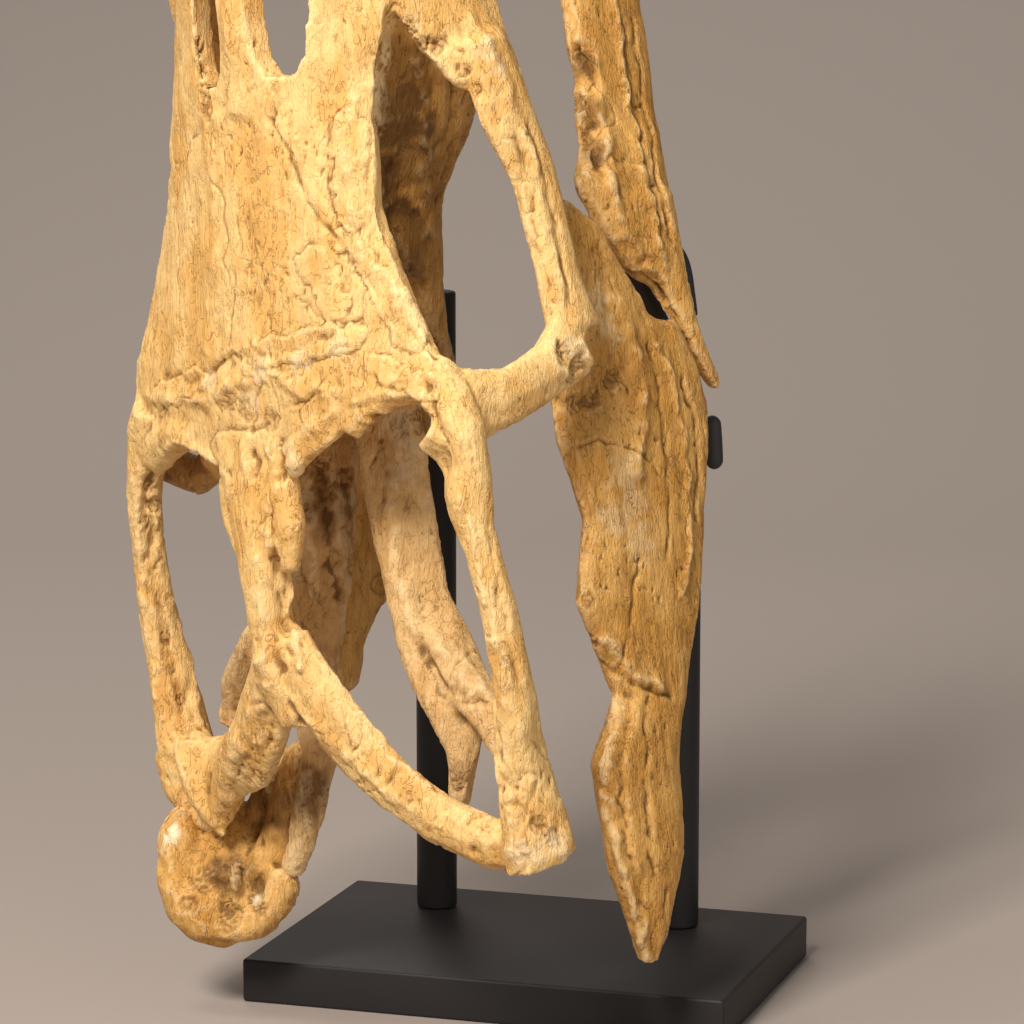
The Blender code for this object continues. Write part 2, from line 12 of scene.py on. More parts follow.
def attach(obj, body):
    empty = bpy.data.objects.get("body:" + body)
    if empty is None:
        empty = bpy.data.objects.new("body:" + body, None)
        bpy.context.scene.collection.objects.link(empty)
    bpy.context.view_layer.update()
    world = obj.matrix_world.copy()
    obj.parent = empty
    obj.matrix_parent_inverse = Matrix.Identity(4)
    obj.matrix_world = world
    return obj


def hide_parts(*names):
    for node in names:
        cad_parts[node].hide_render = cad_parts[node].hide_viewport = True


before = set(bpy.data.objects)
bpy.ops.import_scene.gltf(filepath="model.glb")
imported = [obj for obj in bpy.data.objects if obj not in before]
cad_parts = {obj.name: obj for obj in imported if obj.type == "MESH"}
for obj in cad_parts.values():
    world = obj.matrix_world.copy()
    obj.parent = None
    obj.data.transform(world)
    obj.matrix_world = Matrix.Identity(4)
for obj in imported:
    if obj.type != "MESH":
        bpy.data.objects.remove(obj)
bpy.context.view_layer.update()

bl_info = {
    "name": "Fossil Mosasaur Skull",
    "version": (1, 0, 0),
    "blender": (4, 5, 0),
    "location": "3D View > Sidebar > Fossil",
    "description": "Weathered bone, black steel stand and studio for a mosasaur skull",
    "category": "Object",
}

# The skull's own frame: r to its right, v from roof to jaws, u to the snout, in mm.
SKULL_TURN = math.radians(17.8)
SKULL_ROLL = math.radians(45.0)
SKULL_LEAN = math.radians(3.6)
SKULL_PLACE = (-116.1, -140.0, 263.1)
SKULL_SCALE = 0.978
SIDE_DIR = np.array((math.cos(SKULL_TURN), math.sin(SKULL_TURN), 0.0))
AWAY_DIR = np.array((-math.sin(SKULL_TURN), math.cos(SKULL_TURN), 0.0))
UP_DIR = np.array((0.0, 0.0, 1.0))
AXIS_U = UP_DIR * math.cos(SKULL_LEAN) - SIDE_DIR * math.sin(SKULL_LEAN)
AXIS_S = SIDE_DIR * math.cos(SKULL_LEAN) + UP_DIR * math.sin(SKULL_LEAN)
AXIS_R = AXIS_S * math.cos(SKULL_ROLL) - AWAY_DIR * math.sin(SKULL_ROLL)
AXIS_V = AXIS_S * math.sin(SKULL_ROLL) + AWAY_DIR * math.cos(SKULL_ROLL)
TURN = np.stack((AXIS_R, AXIS_V, AXIS_U))
SKULL_ORIGIN = SIDE_DIR * SKULL_PLACE[0] + AWAY_DIR * SKULL_PLACE[1] + UP_DIR * SKULL_PLACE[2]

# Planes where the solids of the cranium part from each other: point, direction.
SEAMS = {
    "front": ((0.0, 0.0, 160.0), (0.0, 0.0, 1.0)),
    "rear": ((0.0, 0.0, 24.0), (0.0, 0.0, 1.0)),
    "side_r": ((97.0, 40.0, 26.0), (0.6, 0.8, 0.2)),
    "side_l": ((-97.0, 40.0, 26.0), (-0.6, 0.8, 0.2)),
    "inner_r": ((62.0, 0.0, 24.0), (176.0, 0.0, 28.0)),
    "inner_l": ((-62.0, 0.0, 24.0), (-176.0, 0.0, 28.0)),
}
# Solids end this near a seam, and their copies are pushed this far over it, in mm.
SEAM_NEAR = 0.32
SEAM_PUSH = 0.9
# How far the closed end of a bone lies inside its rim, in m.
CAP_DEPTH = 0.0009
# Bones thinned to a share of their faces, from a place u on, which leaves the seam as it is.
THINNED = {"snout_bone": (0.68, 172.0)}
# Gap kept between a post and the plate under it, in m.
GAP = 0.0003
CRANIUM = ("snout", "frontal", "parietal", "right_jugal", "left_jugal", "right_temporal_bar",
           "left_temporal_bar")
# Bones on the far side, which are drawn coarser.
FAR_BONES = ("left_pterygoid", "left_dentary", "left_hind_jaw")


def linear(code):
    """A colour written as sRGB hex, as the linear red, green, blue and alpha a shader takes."""
    parts = [int(code[i:i + 2], 16) / 255.0 for i in (1, 3, 5)]
    return tuple(p / 12.92 if p <= 0.04045 else ((p + 0.055) / 1.055) ** 2.4 for p in parts) + (1.0,)


def to_skull(points):
    """Points in metres on the stand as millimetres in the skull's own frame."""
    return (points * 1000.0 - SKULL_ORIGIN) @ TURN.T / SKULL_SCALE


def from_skull(points):
    """Points in the skull's own frame as metres on the stand."""
    return (points * SKULL_SCALE @ TURN + SKULL_ORIGIN) / 1000.0


# Patterns in space

DIRECTIONS = np.random.default_rng(7).normal(size=(256, 3))
DIRECTIONS /= np.linalg.norm(DIRECTIONS, axis=1)[:, None]


def clouds(points, seed):
    """Smooth noise between about -1 and 1 at points given in cells."""
    cell = np.floor(points).astype(np.int64)
    part = points - cell
    fade = part * part * part * (part * (part * 6.0 - 15.0) + 10.0)
    total = np.zeros(len(points))
    for dx in (0, 1):
        wx = fade[:, 0] if dx else 1.0 - fade[:, 0]
        for dy in (0, 1):
            wy = fade[:, 1] if dy else 1.0 - fade[:, 1]
            for dz in (0, 1):
                wz = fade[:, 2] if dz else 1.0 - fade[:, 2]
                key = ((cell[:, 0] + dx) * 73856093) ^ ((cell[:, 1] + dy) * 19349663)
                key ^= ((cell[:, 2] + dz) * 83492791) ^ (seed * 2971215073)
                key = (key ^ (key >> 13)) * 1274126177
                way = DIRECTIONS[(key >> 9) & 255]
                away = part - (dx, dy, dz)
                total += wx * wy * wz * (way * away).sum(1)
    return total * 1.6


def step(low, high, value):
    """0 below low, 1 above high and a smooth rise between."""
    t = np.clip((value - low) / (high - low), 0.0, 1.0)
    return t * t * (3.0 - 2.0 * t)


def wander(points, cell, seed):
    """A smooth random shift of each point, up to about 1, that changes over a cell's width."""
    return np.stack([clouds(points / cell, seed + k) for k in range(3)], 1)


def way_off(points, line):
    """Distance in mm from each point to a line of points."""
    best = np.full(len(points), 1e9)
    line = np.asarray(line, float)
    spans = np.linalg.norm(np.diff(line, axis=0), axis=1)
    for first, last, span in zip(line, line[1:], spans):
        d = last - first
        t = np.clip(((points - first) @ d) / max(span * span, 1e-9), 0.0, 1.0)
        best = np.minimum(best, np.linalg.norm(points - (first + t[:, None] * d), axis=1))
    return best


def spots(table, group):
    """The spots of a bone one by one: centre, then radius and the rest of its row."""
    for row in table.get(group, ()):
        for centre in row[-1]:
            yield (np.array(centre), *row[:-1])


# Shape of the bone

# The tables below give places on the bones, in mm in the skull's frame. Most points of MARKS,
# BREAKS and FILLER were picked by hand as pixels in the photo and cast onto the solids by a
# scratch program, which printed the numbers kept here.
# Lines cut into or raised on each bone: depth (raised if negative), width, points.
MARKS = {}
MARKS["right_dentary"] = (
    (4, 4.5, ((57, 156, 164), (59, 157, 157), (61, 157, 150))),
    (4, 4.5, ((60, 153, 142), (63, 154, 137), (67, 153, 131))),
    (3, 4.5, ((67, 147, 125), (70, 147, 120), (73, 147, 114))),
    (5, 5.5, ((78, 164, 68), (79, 170, 57), (79, 177, 46), (80, 186, 34))),
    (3, 3, ((62, 150, 125), (63, 149, 118))),
    (3, 3, ((66, 142, 101), (67, 142, 96))),
    (-2.0, 3.0, ((55, 180, 184), (60, 178, 162), (66, 176, 136), (75, 172, 110), (82, 171, 88),
     (84, 173, 69))),
    (1.6, 1.6, ((57, 184, 175), (63, 182, 148), (70, 178, 122), (78, 175, 100), (83, 174, 82))),
    (1.4, 1.4, ((56, 191, 174), (62, 189, 148), (69, 186, 121), (79, 179, 98), (83, 180, 78))),
    (1.6, 2.0, ((82, 161, 80), (83, 167, 70), (82, 175, 52), (78, 184, 32), (83, 186, 19))),
    (-2.2, 5.0, ((66, 156, 133), (72, 154, 120), (77, 150, 103), (79, 150, 86))),
    (1.4, 2.4, ((69, 140, 106), (74, 143, 103), (77, 146, 99), (78, 148, 92))),
)
MARKS["right_hind_jaw"] = (
    (7, 6, ((80, 146, 80), (80, 155, 68), (81, 163, 54), (81, 168, 43))),
    (1.4, 1.4, ((91, 154, 35), (93, 154, 19), (95, 156, 1), (97, 154, -21), (99, 151, -42),
     (101, 146, -59))),
    (-1.8, 2.2, ((92, 160, 32), (93, 164, 16), (95, 167, -5), (97, 167, -27), (100, 163, -53),
     (102, 154, -78))),
    (1.6, 1.6, ((93, 172, 17), (94, 176, -2), (96, 175, -24), (98, 171, -46))),
    (-2.4, 4.0, ((89, 139, 56), (91, 143, 38), (93, 145, 20), (95, 141, 4), (97, 134, -17))),
    (1.6, 3.5, ((87, 130, 79), (88, 131, 62), (91, 131, 44), (92, 132, 27))),
    (1.2, 1.0, ((93, 101, -4), (95, 115, -2), (96, 129, -6), (97, 142, -14), (98, 151, -23))),
    (1.2, 1.0, ((87, 127, 80), (88, 127, 62), (90, 118, 46))),
    (3.0, 3.6, ((87, 100, 18), (90, 109, 15), (92, 120, 19), (92, 128, 24))),
    (1.8, 1.6, ((92, 103, -95), (98, 108, -101), (103, 116, -108), (106, 126, -113), (106, 139, -118))),
    (-2.2, 3.0, ((101, 105, -88), (103, 112, -98), (105, 121, -107), (106, 132, -113))),
    (1.4, 1.3, ((101, 129, -56), (103, 122, -73), (104, 116, -89), (102, 112, -101))),
    (-2.2, 2.6, ((98, 112, -116), (104, 97, -139), (104, 96, -165), (109, 99, -188), (109, 106, -212),
     (108, 111, -231))),
    (1.8, 2.4, ((103, 115, -116), (108, 104, -140), (109, 100, -166), (111, 104, -189), (111, 111, -208))),
    (1.4, 1.4, ((106, 125, -117), (109, 117, -142), (111, 113, -168), (112, 115, -195))),
    (1.6, 1.4, ((102, 95, -150), (106, 98, -153), (109, 101, -160), (110, 103, -169))),
    (1.4, 1.2, ((109, 124, -223), (111, 120, -213), (112, 123, -202))),
)
MARKS["cranium"] = (
    (7, 6.5, ((63, 32, 170), (62, 32, 158), (63, 30, 148))),
    (4, 6, ((72, 20, 112), (72, 20, 102))),
    (1.3, 1.6, ((25, 4, 162), (26, 4, 151), (24, 3, 147))),
    # The long break down the right of the frontal, and the plates beside it.
    (1.5, 1.2, ((24, 3, 147), (28, 4, 139), (31, 4, 130), (35, 5, 122), (40, 6, 113), (44, 7, 107),
     (49, 8, 99), (55, 10, 94), (62, 12, 85), (70, 13, 75), (80, 16, 63), (91, 18, 53), (96, 22, 44))),
    (-0.9, 2.6, ((28, 4, 147), (34, 5, 131), (40, 6, 121), (47, 8, 109), (52, 9, 101), (58, 11, 96),
     (65, 13, 87), (73, 15, 78), (83, 18, 66), (87, 26, 56))),
    (0.9, 1.0, ((24, 3, 147), (21, 2, 135), (26, 3, 130), (29, 4, 122))),
    (1.1, 0.9, ((-1, 0, 107), (-1, 0, 92), (-5, 0, 79), (-9, 0, 66), (-13, 1, 50))),
    (0.7, 0.9, ((7, 0, 96), (9, 1, 87), (14, 1, 75), (17, 1, 71))),
    (0.8, 0.9, ((55, 16, 152), (51, 14, 150), (49, 12, 142), (48, 10, 130), (49, 9, 115), (52, 10, 107))),
    (-2.2, 4.2, ((57, 17, 152), (55, 15, 142), (54, 13, 130), (56, 12, 117), (58, 12, 107))),
    (0.8, 0.9, ((51, 9, 106), (58, 12, 107), (66, 16, 104))),
    (-1.6, 3.2, ((57, 12, 104), (64, 14, 96), (70, 15, 87), (75, 17, 79), (80, 18, 71))),
    (0.9, 0.9, ((55, 10, 94), (58, 10, 85), (66, 12, 79), (71, 13, 71), (76, 15, 64), (84, 16, 57))),
    (0.8, 0.9, ((42, 6, 99), (36, 4, 87), (29, 2, 80), (22, 1, 71))),
    (-1.2, 6.0, ((67, 13, 78), (69, 13, 70), (63, 10, 64))),
    (0.7, 0.9, ((33, 3, 71), (42, 4, 64), (55, 7, 62), (63, 10, 64), (66, 12, 78))),
    (-1.0, 3.2, ((1, -1, 194), (2, -2, 177), (-4, 0, 162), (-9, 1, 147), (-13, 1, 126), (-17, 1, 100),
     (-22, 1, 70), (-28, 1, 48))),
    (1.1, 5.0, ((8, 1, 143), (8, 1, 122), (6, 0, 96), (5, 0, 71))),
    (0.9, 5.0, ((-29, 3, 125), (-36, 4, 99), (-42, 4, 68), (-47, 4, 46))),
    (0.8, 1.0, ((-12, 1, 156), (-19, 1, 147), (-29, 4, 140), (-36, 6, 134), (-41, 6, 126))),
    (1.0, 1.1, ((-57, 14, 128), (-48, 9, 121), (-52, 10, 111), (-57, 12, 104))),
    (1.6, 2.0, ((-75, 13, 58), (-77, 13, 53), (-81, 13, 46))),
    (-1.6, 3.2, ((-81, 13, 46), (-86, 14, 38), (-95, 17, 27))),
    # The step where the frontal meets the parietal.
    (-1.8, 4.0, ((-86, 14, 23), (-58, 6, 23), (-33, 2, 26), (-10, 1, 35), (8, 0, 38), (30, 2, 35),
     (46, 4, 31), (62, 7, 35), (79, 12, 39), (90, 15, 39))),
    (1.4, 2.6, ((-66, 8, 34), (-40, 3, 34), (-22, 1, 40), (-2, 0, 46), (15, 1, 49), (31, 2, 52), (50, 6, 57),
     (63, 10, 62))),
    (1.2, 1.3, ((-32, 2, 35), (-22, 1, 40), (-11, 1, 47), (-6, 0, 46), (4, 0, 41), (7, 0, 34), (2, 0, 26),
     (-1, 1, 18), (-3, 1, 13))),
    (0.8, 1.0, ((7, 0, 34), (22, 1, 37), (36, 3, 44), (47, 5, 49), (58, 7, 51))),
    (1.0, 1.3, ((-27, 1, 28), (-22, 2, 21), (-26, 2, 12), (-10, 1, 14), (4, 1, 15), (16, 1, 21), (29, 2, 28),
     (46, 4, 33))),
    (-1.6, 2.2, ((-70, 8, 1), (-56, 4, 6), (-45, 5, 4), (-37, 5, -1), (-25, 2, -5))),
    (-1.8, 2.4, ((27, 2, 12), (38, 4, 18), (49, 5, 25), (61, 7, 29), (74, 10, 33), (86, 12, 33),
     (93, 14, 29))),
    (4.5, 1.7, ((-2, 1, 4), (-1, 1, 0), (-2, 0, -5))),
    (-2.4, 4.5, ((-9, 1, 6), (-9, 0, 0), (-7, 0, -6))),
    (-2.0, 3.5, ((10, 2, 10), (8, 2, -3), (6, 2, -16), (4, 1, -34))),
    (2.0, 2.2, ((15, 2, 10), (14, 2, 1), (13, 4, -7))),
    (-2.6, 4.2, ((23, 2, 8), (22, 3, 2), (18, 4, -4))),
    (1.2, 1.6, ((-20, 1, -5), (-17, 0, -9), (-18, 0, -13))),
    # The bar between the upper windows, and the right arch.
    (-1.6, 3.0, ((-2, -2, -42), (-2, -2, -60), (-1, -1, -78), (-2, 0, -96), (-16, 6, -112),
     (-25, 10, -127))),
    (1.8, 2.4, ((4, 3, -43), (3, 5, -56), (3, 7, -70), (10, 3, -82))),
    (-2.4, 2.0, ((1, 14, -45), (2, 11, -62), (11, 5, -78), (14, 4, -90))),
    (1.0, 1.2, ((1, 0, -27), (4, 1, -23), (7, 3, -24), (7, 6, -30))),
    (1.5, 2.2, ((3, 2, -78), (3, 1, -90), (4, 2, -100), (6, 5, -110), (10, 8, -118))),
    (-2.0, 3.4, ((5, 3, -100), (9, 7, -110), (18, 9, -117), (26, 11, -125), (33, 13, -131), (42, 16, -138),
     (50, 20, -146))),
    (1.1, 1.1, ((38, 19, -109), (38, 18, -115), (39, 14, -122), (34, 13, -128))),
    (0.8, 1.0, ((54, 22, -134), (48, 18, -140), (39, 18, -144))),
    # The right suspensorium and its chipped knob.
    (2.2, 2.4, ((87, 38, -149), (84, 34, -154), (84, 31, -159), (86, 32, -167))),
    (-1.6, 4.0, ((93, 34, -164), (112, 29, -164), (122, 36, -166), (124, 47, -166))),
    (-1.8, 5.0, ((121, 48, -144), (121, 54, -154), (122, 54, -163))),
    (1.8, 3.6, ((114, 27, -136), (118, 30, -145), (122, 37, -153))),
    # The right temporal bar.
    (2.0, 2.2, ((108, 26, -94), (110, 26, -100), (111, 25, -107), (112, 26, -115), (111, 26, -125))),
    (-1.5, 3.2, ((117, 24, -71), (119, 26, -89), (120, 32, -111), (121, 36, -132))),
    (1.3, 1.8, ((102, 30, 11), (111, 27, -9), (116, 26, -29), (118, 26, -46), (120, 26, -67),
     (121, 30, -89))),
    (-1.5, 2.0, ((102, 15, 11), (107, 16, -5), (111, 18, -20), (113, 19, -38), (114, 21, -55))),
    (1.6, 3.2, ((94, 16, 36), (99, 17, 30), (102, 21, 23), (102, 26, 16))),
    (1.0, 1.1, ((91, 16, 42), (94, 15, 33), (97, 16, 27), (100, 18, 18), (102, 17, 11))),
    (1.0, 1.1, ((96, 23, 42), (100, 26, 37), (104, 29, 29), (105, 33, 20), (107, 33, 11))),
    # The right cheek.
    (1.4, 2.0, ((94, 76, 132), (96, 78, 121), (97, 80, 109), (99, 81, 94), (100, 82, 77), (102, 83, 59))),
    (-1.8, 2.0, ((95, 80, 134), (97, 83, 121), (99, 85, 108), (101, 86, 93), (103, 87, 78), (105, 86, 63))),
    (1.6, 1.6, ((95, 84, 136), (97, 87, 123), (99, 89, 110), (101, 90, 95), (103, 90, 79), (105, 89, 63))),
    (1.3, 0.8, ((93, 71, 134), (94, 75, 133), (95, 79, 134), (95, 83, 132))),
    (0.9, 0.7, ((92, 75, 116), (96, 78, 115), (97, 83, 115))),
    (0.9, 0.7, ((93, 75, 100), (97, 79, 101), (99, 84, 100))),
    (1.0, 0.8, ((99, 80, 62), (103, 84, 62), (106, 92, 60))),
    (2.2, 3.4, ((109, 81, 45), (110, 83, 39), (109, 90, 34), (113, 93, 30))),
    (-2.0, 2.6, ((108, 79, 47), (109, 75, 43), (110, 74, 38), (110, 82, 31))),
    (-2.2, 2.2, ((110, 91, 44), (109, 98, 38), (111, 99, 33))),
    (0.8, 0.8, ((106, 62, 42), (109, 65, 37), (110, 70, 28), (111, 70, 21))),
    (1.6, 4.0, ((82, 59, 167), (85, 61, 159), (89, 64, 149), (91, 68, 141))),
    (1.8, 2.2, ((74, 50, 174), (77, 56, 176), (80, 58, 174), (83, 60, 171))),
    (-1.6, 3.0, ((78, 69, 183), (87, 69, 173), (90, 74, 160), (93, 77, 147))),
    # The left temporal bar and arch.
    (3.0, 4.6, ((-97, 20, -17), (-101, 20, -26), (-102, 23, -36), (-103, 26, -46))),
    (2.6, 4.2, ((-106, 25, -55), (-107, 28, -70), (-106, 31, -84), (-105, 33, -98), (-104, 35, -113),
     (-103, 38, -128))),
    (-1.4, 2.4, ((-100, 15, -12), (-105, 18, -31), (-109, 21, -55), (-112, 23, -79), (-112, 25, -97),
     (-113, 26, -121))),
    (-1.6, 2.4, ((-112, 44, -80), (-108, 44, -96), (-105, 43, -114), (-103, 43, -133))),
    (1.4, 0.9, ((-108, 18, -40), (-106, 21, -42), (-103, 23, -41))),
    (2.0, 3.0, ((-102, 40, -137), (-101, 42, -146), (-90, 35, -153), (-82, 30, -161))),
    (-2.0, 4.0, ((-106, 30, -145), (-104, 33, -155), (-100, 35, -165), (-96, 37, -174))),
    (-2.2, 4.5, ((-4, -2, -87), (-17, 5, -103), (-27, 9, -118), (-43, 15, -135), (-58, 22, -151),
     (-71, 29, -166))),
    (1.6, 2.2, ((-14, 9, -121), (-24, 12, -133), (-37, 16, -146), (-48, 21, -156))),
    (1.0, 1.0, ((-23, 7, -110), (-14, 5, -107), (-6, 3, -108))),
    # The right arch seen from its edge.
    (1.5, 2.0, ((19, 7, -62), (21, 7, -73), (25, 9, -84), (29, 11, -93), (35, 15, -102), (41, 19, -114),
     (48, 22, -126), (56, 27, -134), (67, 31, -143))),
    (-1.8, 2.2, ((19, 11, -80), (22, 13, -90), (29, 15, -99), (34, 18, -108), (40, 22, -118), (48, 21, -127),
     (55, 25, -134), (65, 29, -142))),
    (-1.5, 1.8, ((102, 33, -91), (103, 30, -105), (105, 29, -118), (109, 27, -134))),
)
MARKS["left_quadrate"] = (
    (3.0, 2.6, ((-79, 32, -197), (-76, 35, -193), (-73, 40, -190), (-70, 45, -187))),
    (3.4, 4.0, ((-79, 30, -202), (-77, 31, -209), (-78, 29, -218))),
    (-3.0, 4.2, ((-72, 38, -198), (-71, 37, -207), (-70, 38, -215), (-73, 35, -219))),
    (2.6, 2.6, ((-68, 41, -203), (-68, 40, -212), (-68, 39, -219))),
    (-2.2, 6.0, ((-108, 25, -182), (-107, 22, -195), (-99, 17, -207), (-91, 19, -218), (-83, 26, -225),
     (-74, 36, -228), (-66, 47, -225), (-61, 55, -217))),
    (1.6, 3.0, ((-93, 19, -213), (-89, 21, -211), (-84, 25, -208), (-81, 28, -204))),
    (2.0, 3.4, ((-90, 25, -189), (-86, 26, -196), (-84, 26, -202))),
    (-2.4, 5.0, ((-62, 51, -200), (-61, 55, -207), (-59, 54, -214))),
    (2.4, 2.6, ((-67, 48, -191), (-64, 50, -196), (-61, 53, -201))),
)
MARKS["right_pterygoid"] = (
    (-2.4, 5.0, ((25, 55, -14), (28, 53, -36), (30, 52, -58), (37, 51, -79))),
    (1.2, 1.0, ((17, 52, 16), (20, 53, 3), (18, 50, -10))),
    (-2.4, 4.0, ((45, 53, -83), (53, 55, -87), (60, 56, -95), (70, 56, -104))),
    (2.2, 2.4, ((40, 51, -83), (46, 51, -95), (56, 50, -104), (68, 51, -107), (74, 56, -107))),
    (1.6, 2.0, ((22, 54, 3), (23, 54, -10), (24, 52, -23))),
    (1.2, 1.0, ((29, 45, -89), (32, 48, -91), (36, 49, -88))),
)
MARKS["left_pterygoid"] = (
    (2.6, 3.0, ((-21, 54, -13), (-21, 57, -31), (-22, 59, -50), (-24, 64, -73))),
    (-2.4, 3.0, ((-26, 51, -17), (-28, 51, -35), (-28, 53, -54), (-30, 56, -73))),
    (2.2, 2.0, ((-13, 63, -9), (-14, 66, -28), (-19, 68, -56), (-15, 65, -82))),
    (-2.0, 3.0, ((-16, 60, -18), (-18, 63, -41), (-22, 66, -69), (-18, 64, -91))),
)
MARKS["left_dentary"] = (
    (-2.4, 6.0, ((-39, 144, 161), (-39, 147, 138), (-47, 155, 110), (-55, 162, 81))),
    (2.8, 5.0, ((-49, 138, 148), (-50, 136, 130), (-50, 137, 107), (-55, 143, 83))),
    (2.0, 4.0, ((-32, 163, 168), (-37, 169, 141), (-45, 171, 113), (-57, 173, 84))),
)
# Small knobs and fins added to the solids: points with a radius.
KNOBS = {
    "cranium": (
        ((-94, 24, 40, 2.6), (-91, 24, 51, 1.9), (-90, 24, 60, 0.9)),
        ((93, 24, 40, 8), (99, 24, 29, 9), (105, 23, 16, 9.5), (107, 25, -4, 8.5), (108, 26, -26, 7)),
        ((-112, 41, -132, 9), (-105, 40, -148, 9), (-94, 37, -162, 7.5), (-84, 33, -173, 5),
         (-80, 32, -180, 3)),
        ((-40, 22, -128, 11), (-58, 28, -143, 11), (-72, 32, -158, 9), (-80, 32, -172, 5)),
        ((-27, 8, -12, 5), (-26, 8, -28, 5.5), (-20, 8, -43, 5)),
        ((11, 7, -10, 6), (12, 7, -28, 6.5), (8, 8, -44, 5.5)),
        ((-108, 44, -14, 9), (-96, 48, -20, 8), (-84, 50, -12, 8), (-76, 42, -2, 7)),
        ((-112, 42, -140, 10), (-98, 39, -149, 9), (-84, 35, -150, 9)),
        ((-113, 38, -150, 11), (-111, 38, -164, 10), (-106, 39, -174, 7), (-96, 38, -179, 5)),
    ),
    "left_quadrate": (
        ((-107, 32, -178, 7), (-106, 29, -187, 9.5), (-104, 29, -200, 10.5), (-97, 31, -212, 9.5)),
        ((-68, 53, -199, 6), (-63, 50, -207, 8), (-64, 46, -216, 8), (-70, 40, -223, 7)),
        ((-77, 35, -196, 3), (-77, 34, -206, 4), (-78, 33, -214, 3.5)),
        ((-88, 30, -218, 6), (-80, 33, -224, 6.5), (-70, 40, -225, 6)),
        ((-76, 70, -155, 8), (-83, 65, -170, 8), (-88, 59, -183, 7), (-93, 54, -195, 6)),
        ((-52, 60, -148, 9), (-58, 58, -166, 10), (-66, 56, -186, 10), (-74, 50, -202, 9)),
    ),
    "left_pterygoid": (
        ((-45, 54, -172, 6), (-50, 54, -186, 6), (-57, 54, -198, 6)),
    ),
}
# Broken, spongy spots: radius, depth, centres.
BREAKS = {
    "cranium": (
        (5, 1.6, ((-22, 3, 178), (-20, 2, 168), (-18, 2, 159), (-17, 1, 151))),
        (4, 1.2, ((-98, 22, -21), (-101, 27, -30), (-103, 23, -38))),
        (3.5, 1.0, ((-107, 31, -93), (-106, 31, -107), (-104, 35, -122))),
        (4.5, 2.0, ((-45, 21, -159), (-58, 28, -167), (-35, 18, -151))),
        (5, 1.4, ((110, 82, 43), (109, 91, 36), (109, 86, 31))),
        (6, 0.8, ((-16, 1, 27), (-6, 1, 22), (9, 1, 19))),
        (5, 1.6, ((68, 42, 181), (71, 46, 175), (75, 52, 174))),
        (4, 1.4, ((82, 59, 163), (86, 61, 154))),
        (5, 0.9, ((122, 37, -153), (124, 44, -160), (117, 30, -163))),
    ),
    "left_quadrate": (
        (7, 1.5, ((-87, 24, -202), (-76, 31, -219), (-67, 42, -215), (-77, 34, -194))),
        (5, 1.2, ((-91, 20, -213), (-62, 52, -215))),
    ),
    "right_hind_jaw": (
        (5, 1.2, ((92, 128, 24), (92, 117, 18), (89, 107, 15))),
        (4, 1.2, ((99, 98, -69), (95, 102, -88))),
    ),
    "right_dentary": (
        (5, 1.6, ((55, 155, 160), (56, 153, 142), (64, 148, 129))),
    ),
    "left_pterygoid": (
        (6, 1.6, ((-22, 54, -13), (-20, 57, -22), (-14, 64, -18), (-2, 51, -105))),
    ),
    "right_pterygoid": (
        (6, 1.0, ((27, 61, 9), (31, 69, 10), (40, 75, -4), (54, 54, -145))),
    ),
}
# Broken plates of the roof that stand proud of their neighbours: radius, height, points.
PLATES = {
    "cranium": (
        (8, 1.2, ((58, 16, 143), (57, 14, 125), (58, 13, 108))),
        (7, 1.1, ((58, 11, 96), (69, 14, 82), (77, 16, 68), (86, 17, 57))),
        (8, 0.8, ((41, 5, 87), (50, 6, 71))),
        (7, 0.9, ((1, 0, 45), (31, 2, 52), (57, 7, 56))),
        (6, 0.9, ((-73, 10, 24), (-36, 2, 34))),
        (7, 0.9, ((72, 10, 44), (91, 14, 36))),
    ),
}
# Painted shadow: brown painted where shade falls, in recesses and on the far bones behind the skull roof:
# radius, centres.
PAINTED_SHADOWS = {
    "left_pterygoid": (
        (24, ((-81, 50, -113),)),
        (16, ((-41, 50, -160),)),
        (18, ((-22, 58, -30),)),
    ),
    "cranium": (
        (22, ((-98, 47, -18),)),
        (14, ((60, 20, 18), (-50, 26, -128))),
    ),
    "right_dentary": (
        (9, ((58, 158, 157), (63, 156, 137), (69, 149, 120))),
    ),
    "left_dentary": (
        (34, ((-46, 131, 117),)),
        (28, ((-56, 141, 75),)),
        (30, ((-40, 128, 150),)),
    ),
    "left_quadrate": (
        (14, ((-77, 34, -200),)),
        (24, ((-68, 58, -168),)),
    ),
}
# Parts of a bone that sit off their solid: u where the shift starts and is full, shift.
SHIFTS = {"right_pterygoid": ((76.0, 98.0, (0.0, -11.0, 0.0)),)}
# Spots drawn in or out as a whole: centre, radius, shift.
PULLS = {
    "cranium": (
        ((92, 10, 5), 11.0, (7.5, 8.5, 0.0)),
    ),
    "right_dentary": (
        ((57, 153, 154), 7.5, (0.0, 6.5, 0.0)),
        ((65, 148, 129), 6.0, (0.0, 5.0, 0.0)),
        ((73, 143, 106), 9.0, (0.0, -6.0, 0.0)),
    ),
}
# Pale museum filler: radius, centres.
FILLER = {
    "cranium": (
        (4, ((20, 2, 5), (19, 4, -2))),
        (6, ((124, 44, -162), (122, 36, -164), (117, 30, -164), (131, 47, -155))),
        (4, ((110, 94, 40), (109, 87, 44), (106, 100, 33), (90, 73, 162), (88, 69, 170))),
        (5, ((-28, 1, 34), (6, 0, 40), (31, 2, 45), (52, 5, 50), (-1, 0, 27))),
    ),
    "left_quadrate": (
        (4.5, ((-103, 21, -183),)),
        (3, ((-65, 44, -217), (-67, 42, -213))),
    ),
    "right_hind_jaw": (
        (8, ((97, 127, -17), (98, 129, -30), (98, 118, -37), (100, 131, -48))),
        (6, ((89, 126, 58), (90, 130, 44))),
    ),
    "right_pterygoid": (
        (6, ((27, 61, 9), (30, 64, -2), (29, 60, -10), (41, 69, -24))),
    ),
    "left_pterygoid": (
        (4, ((-14, 66, -28), (-18, 64, -46))),
    ),
}


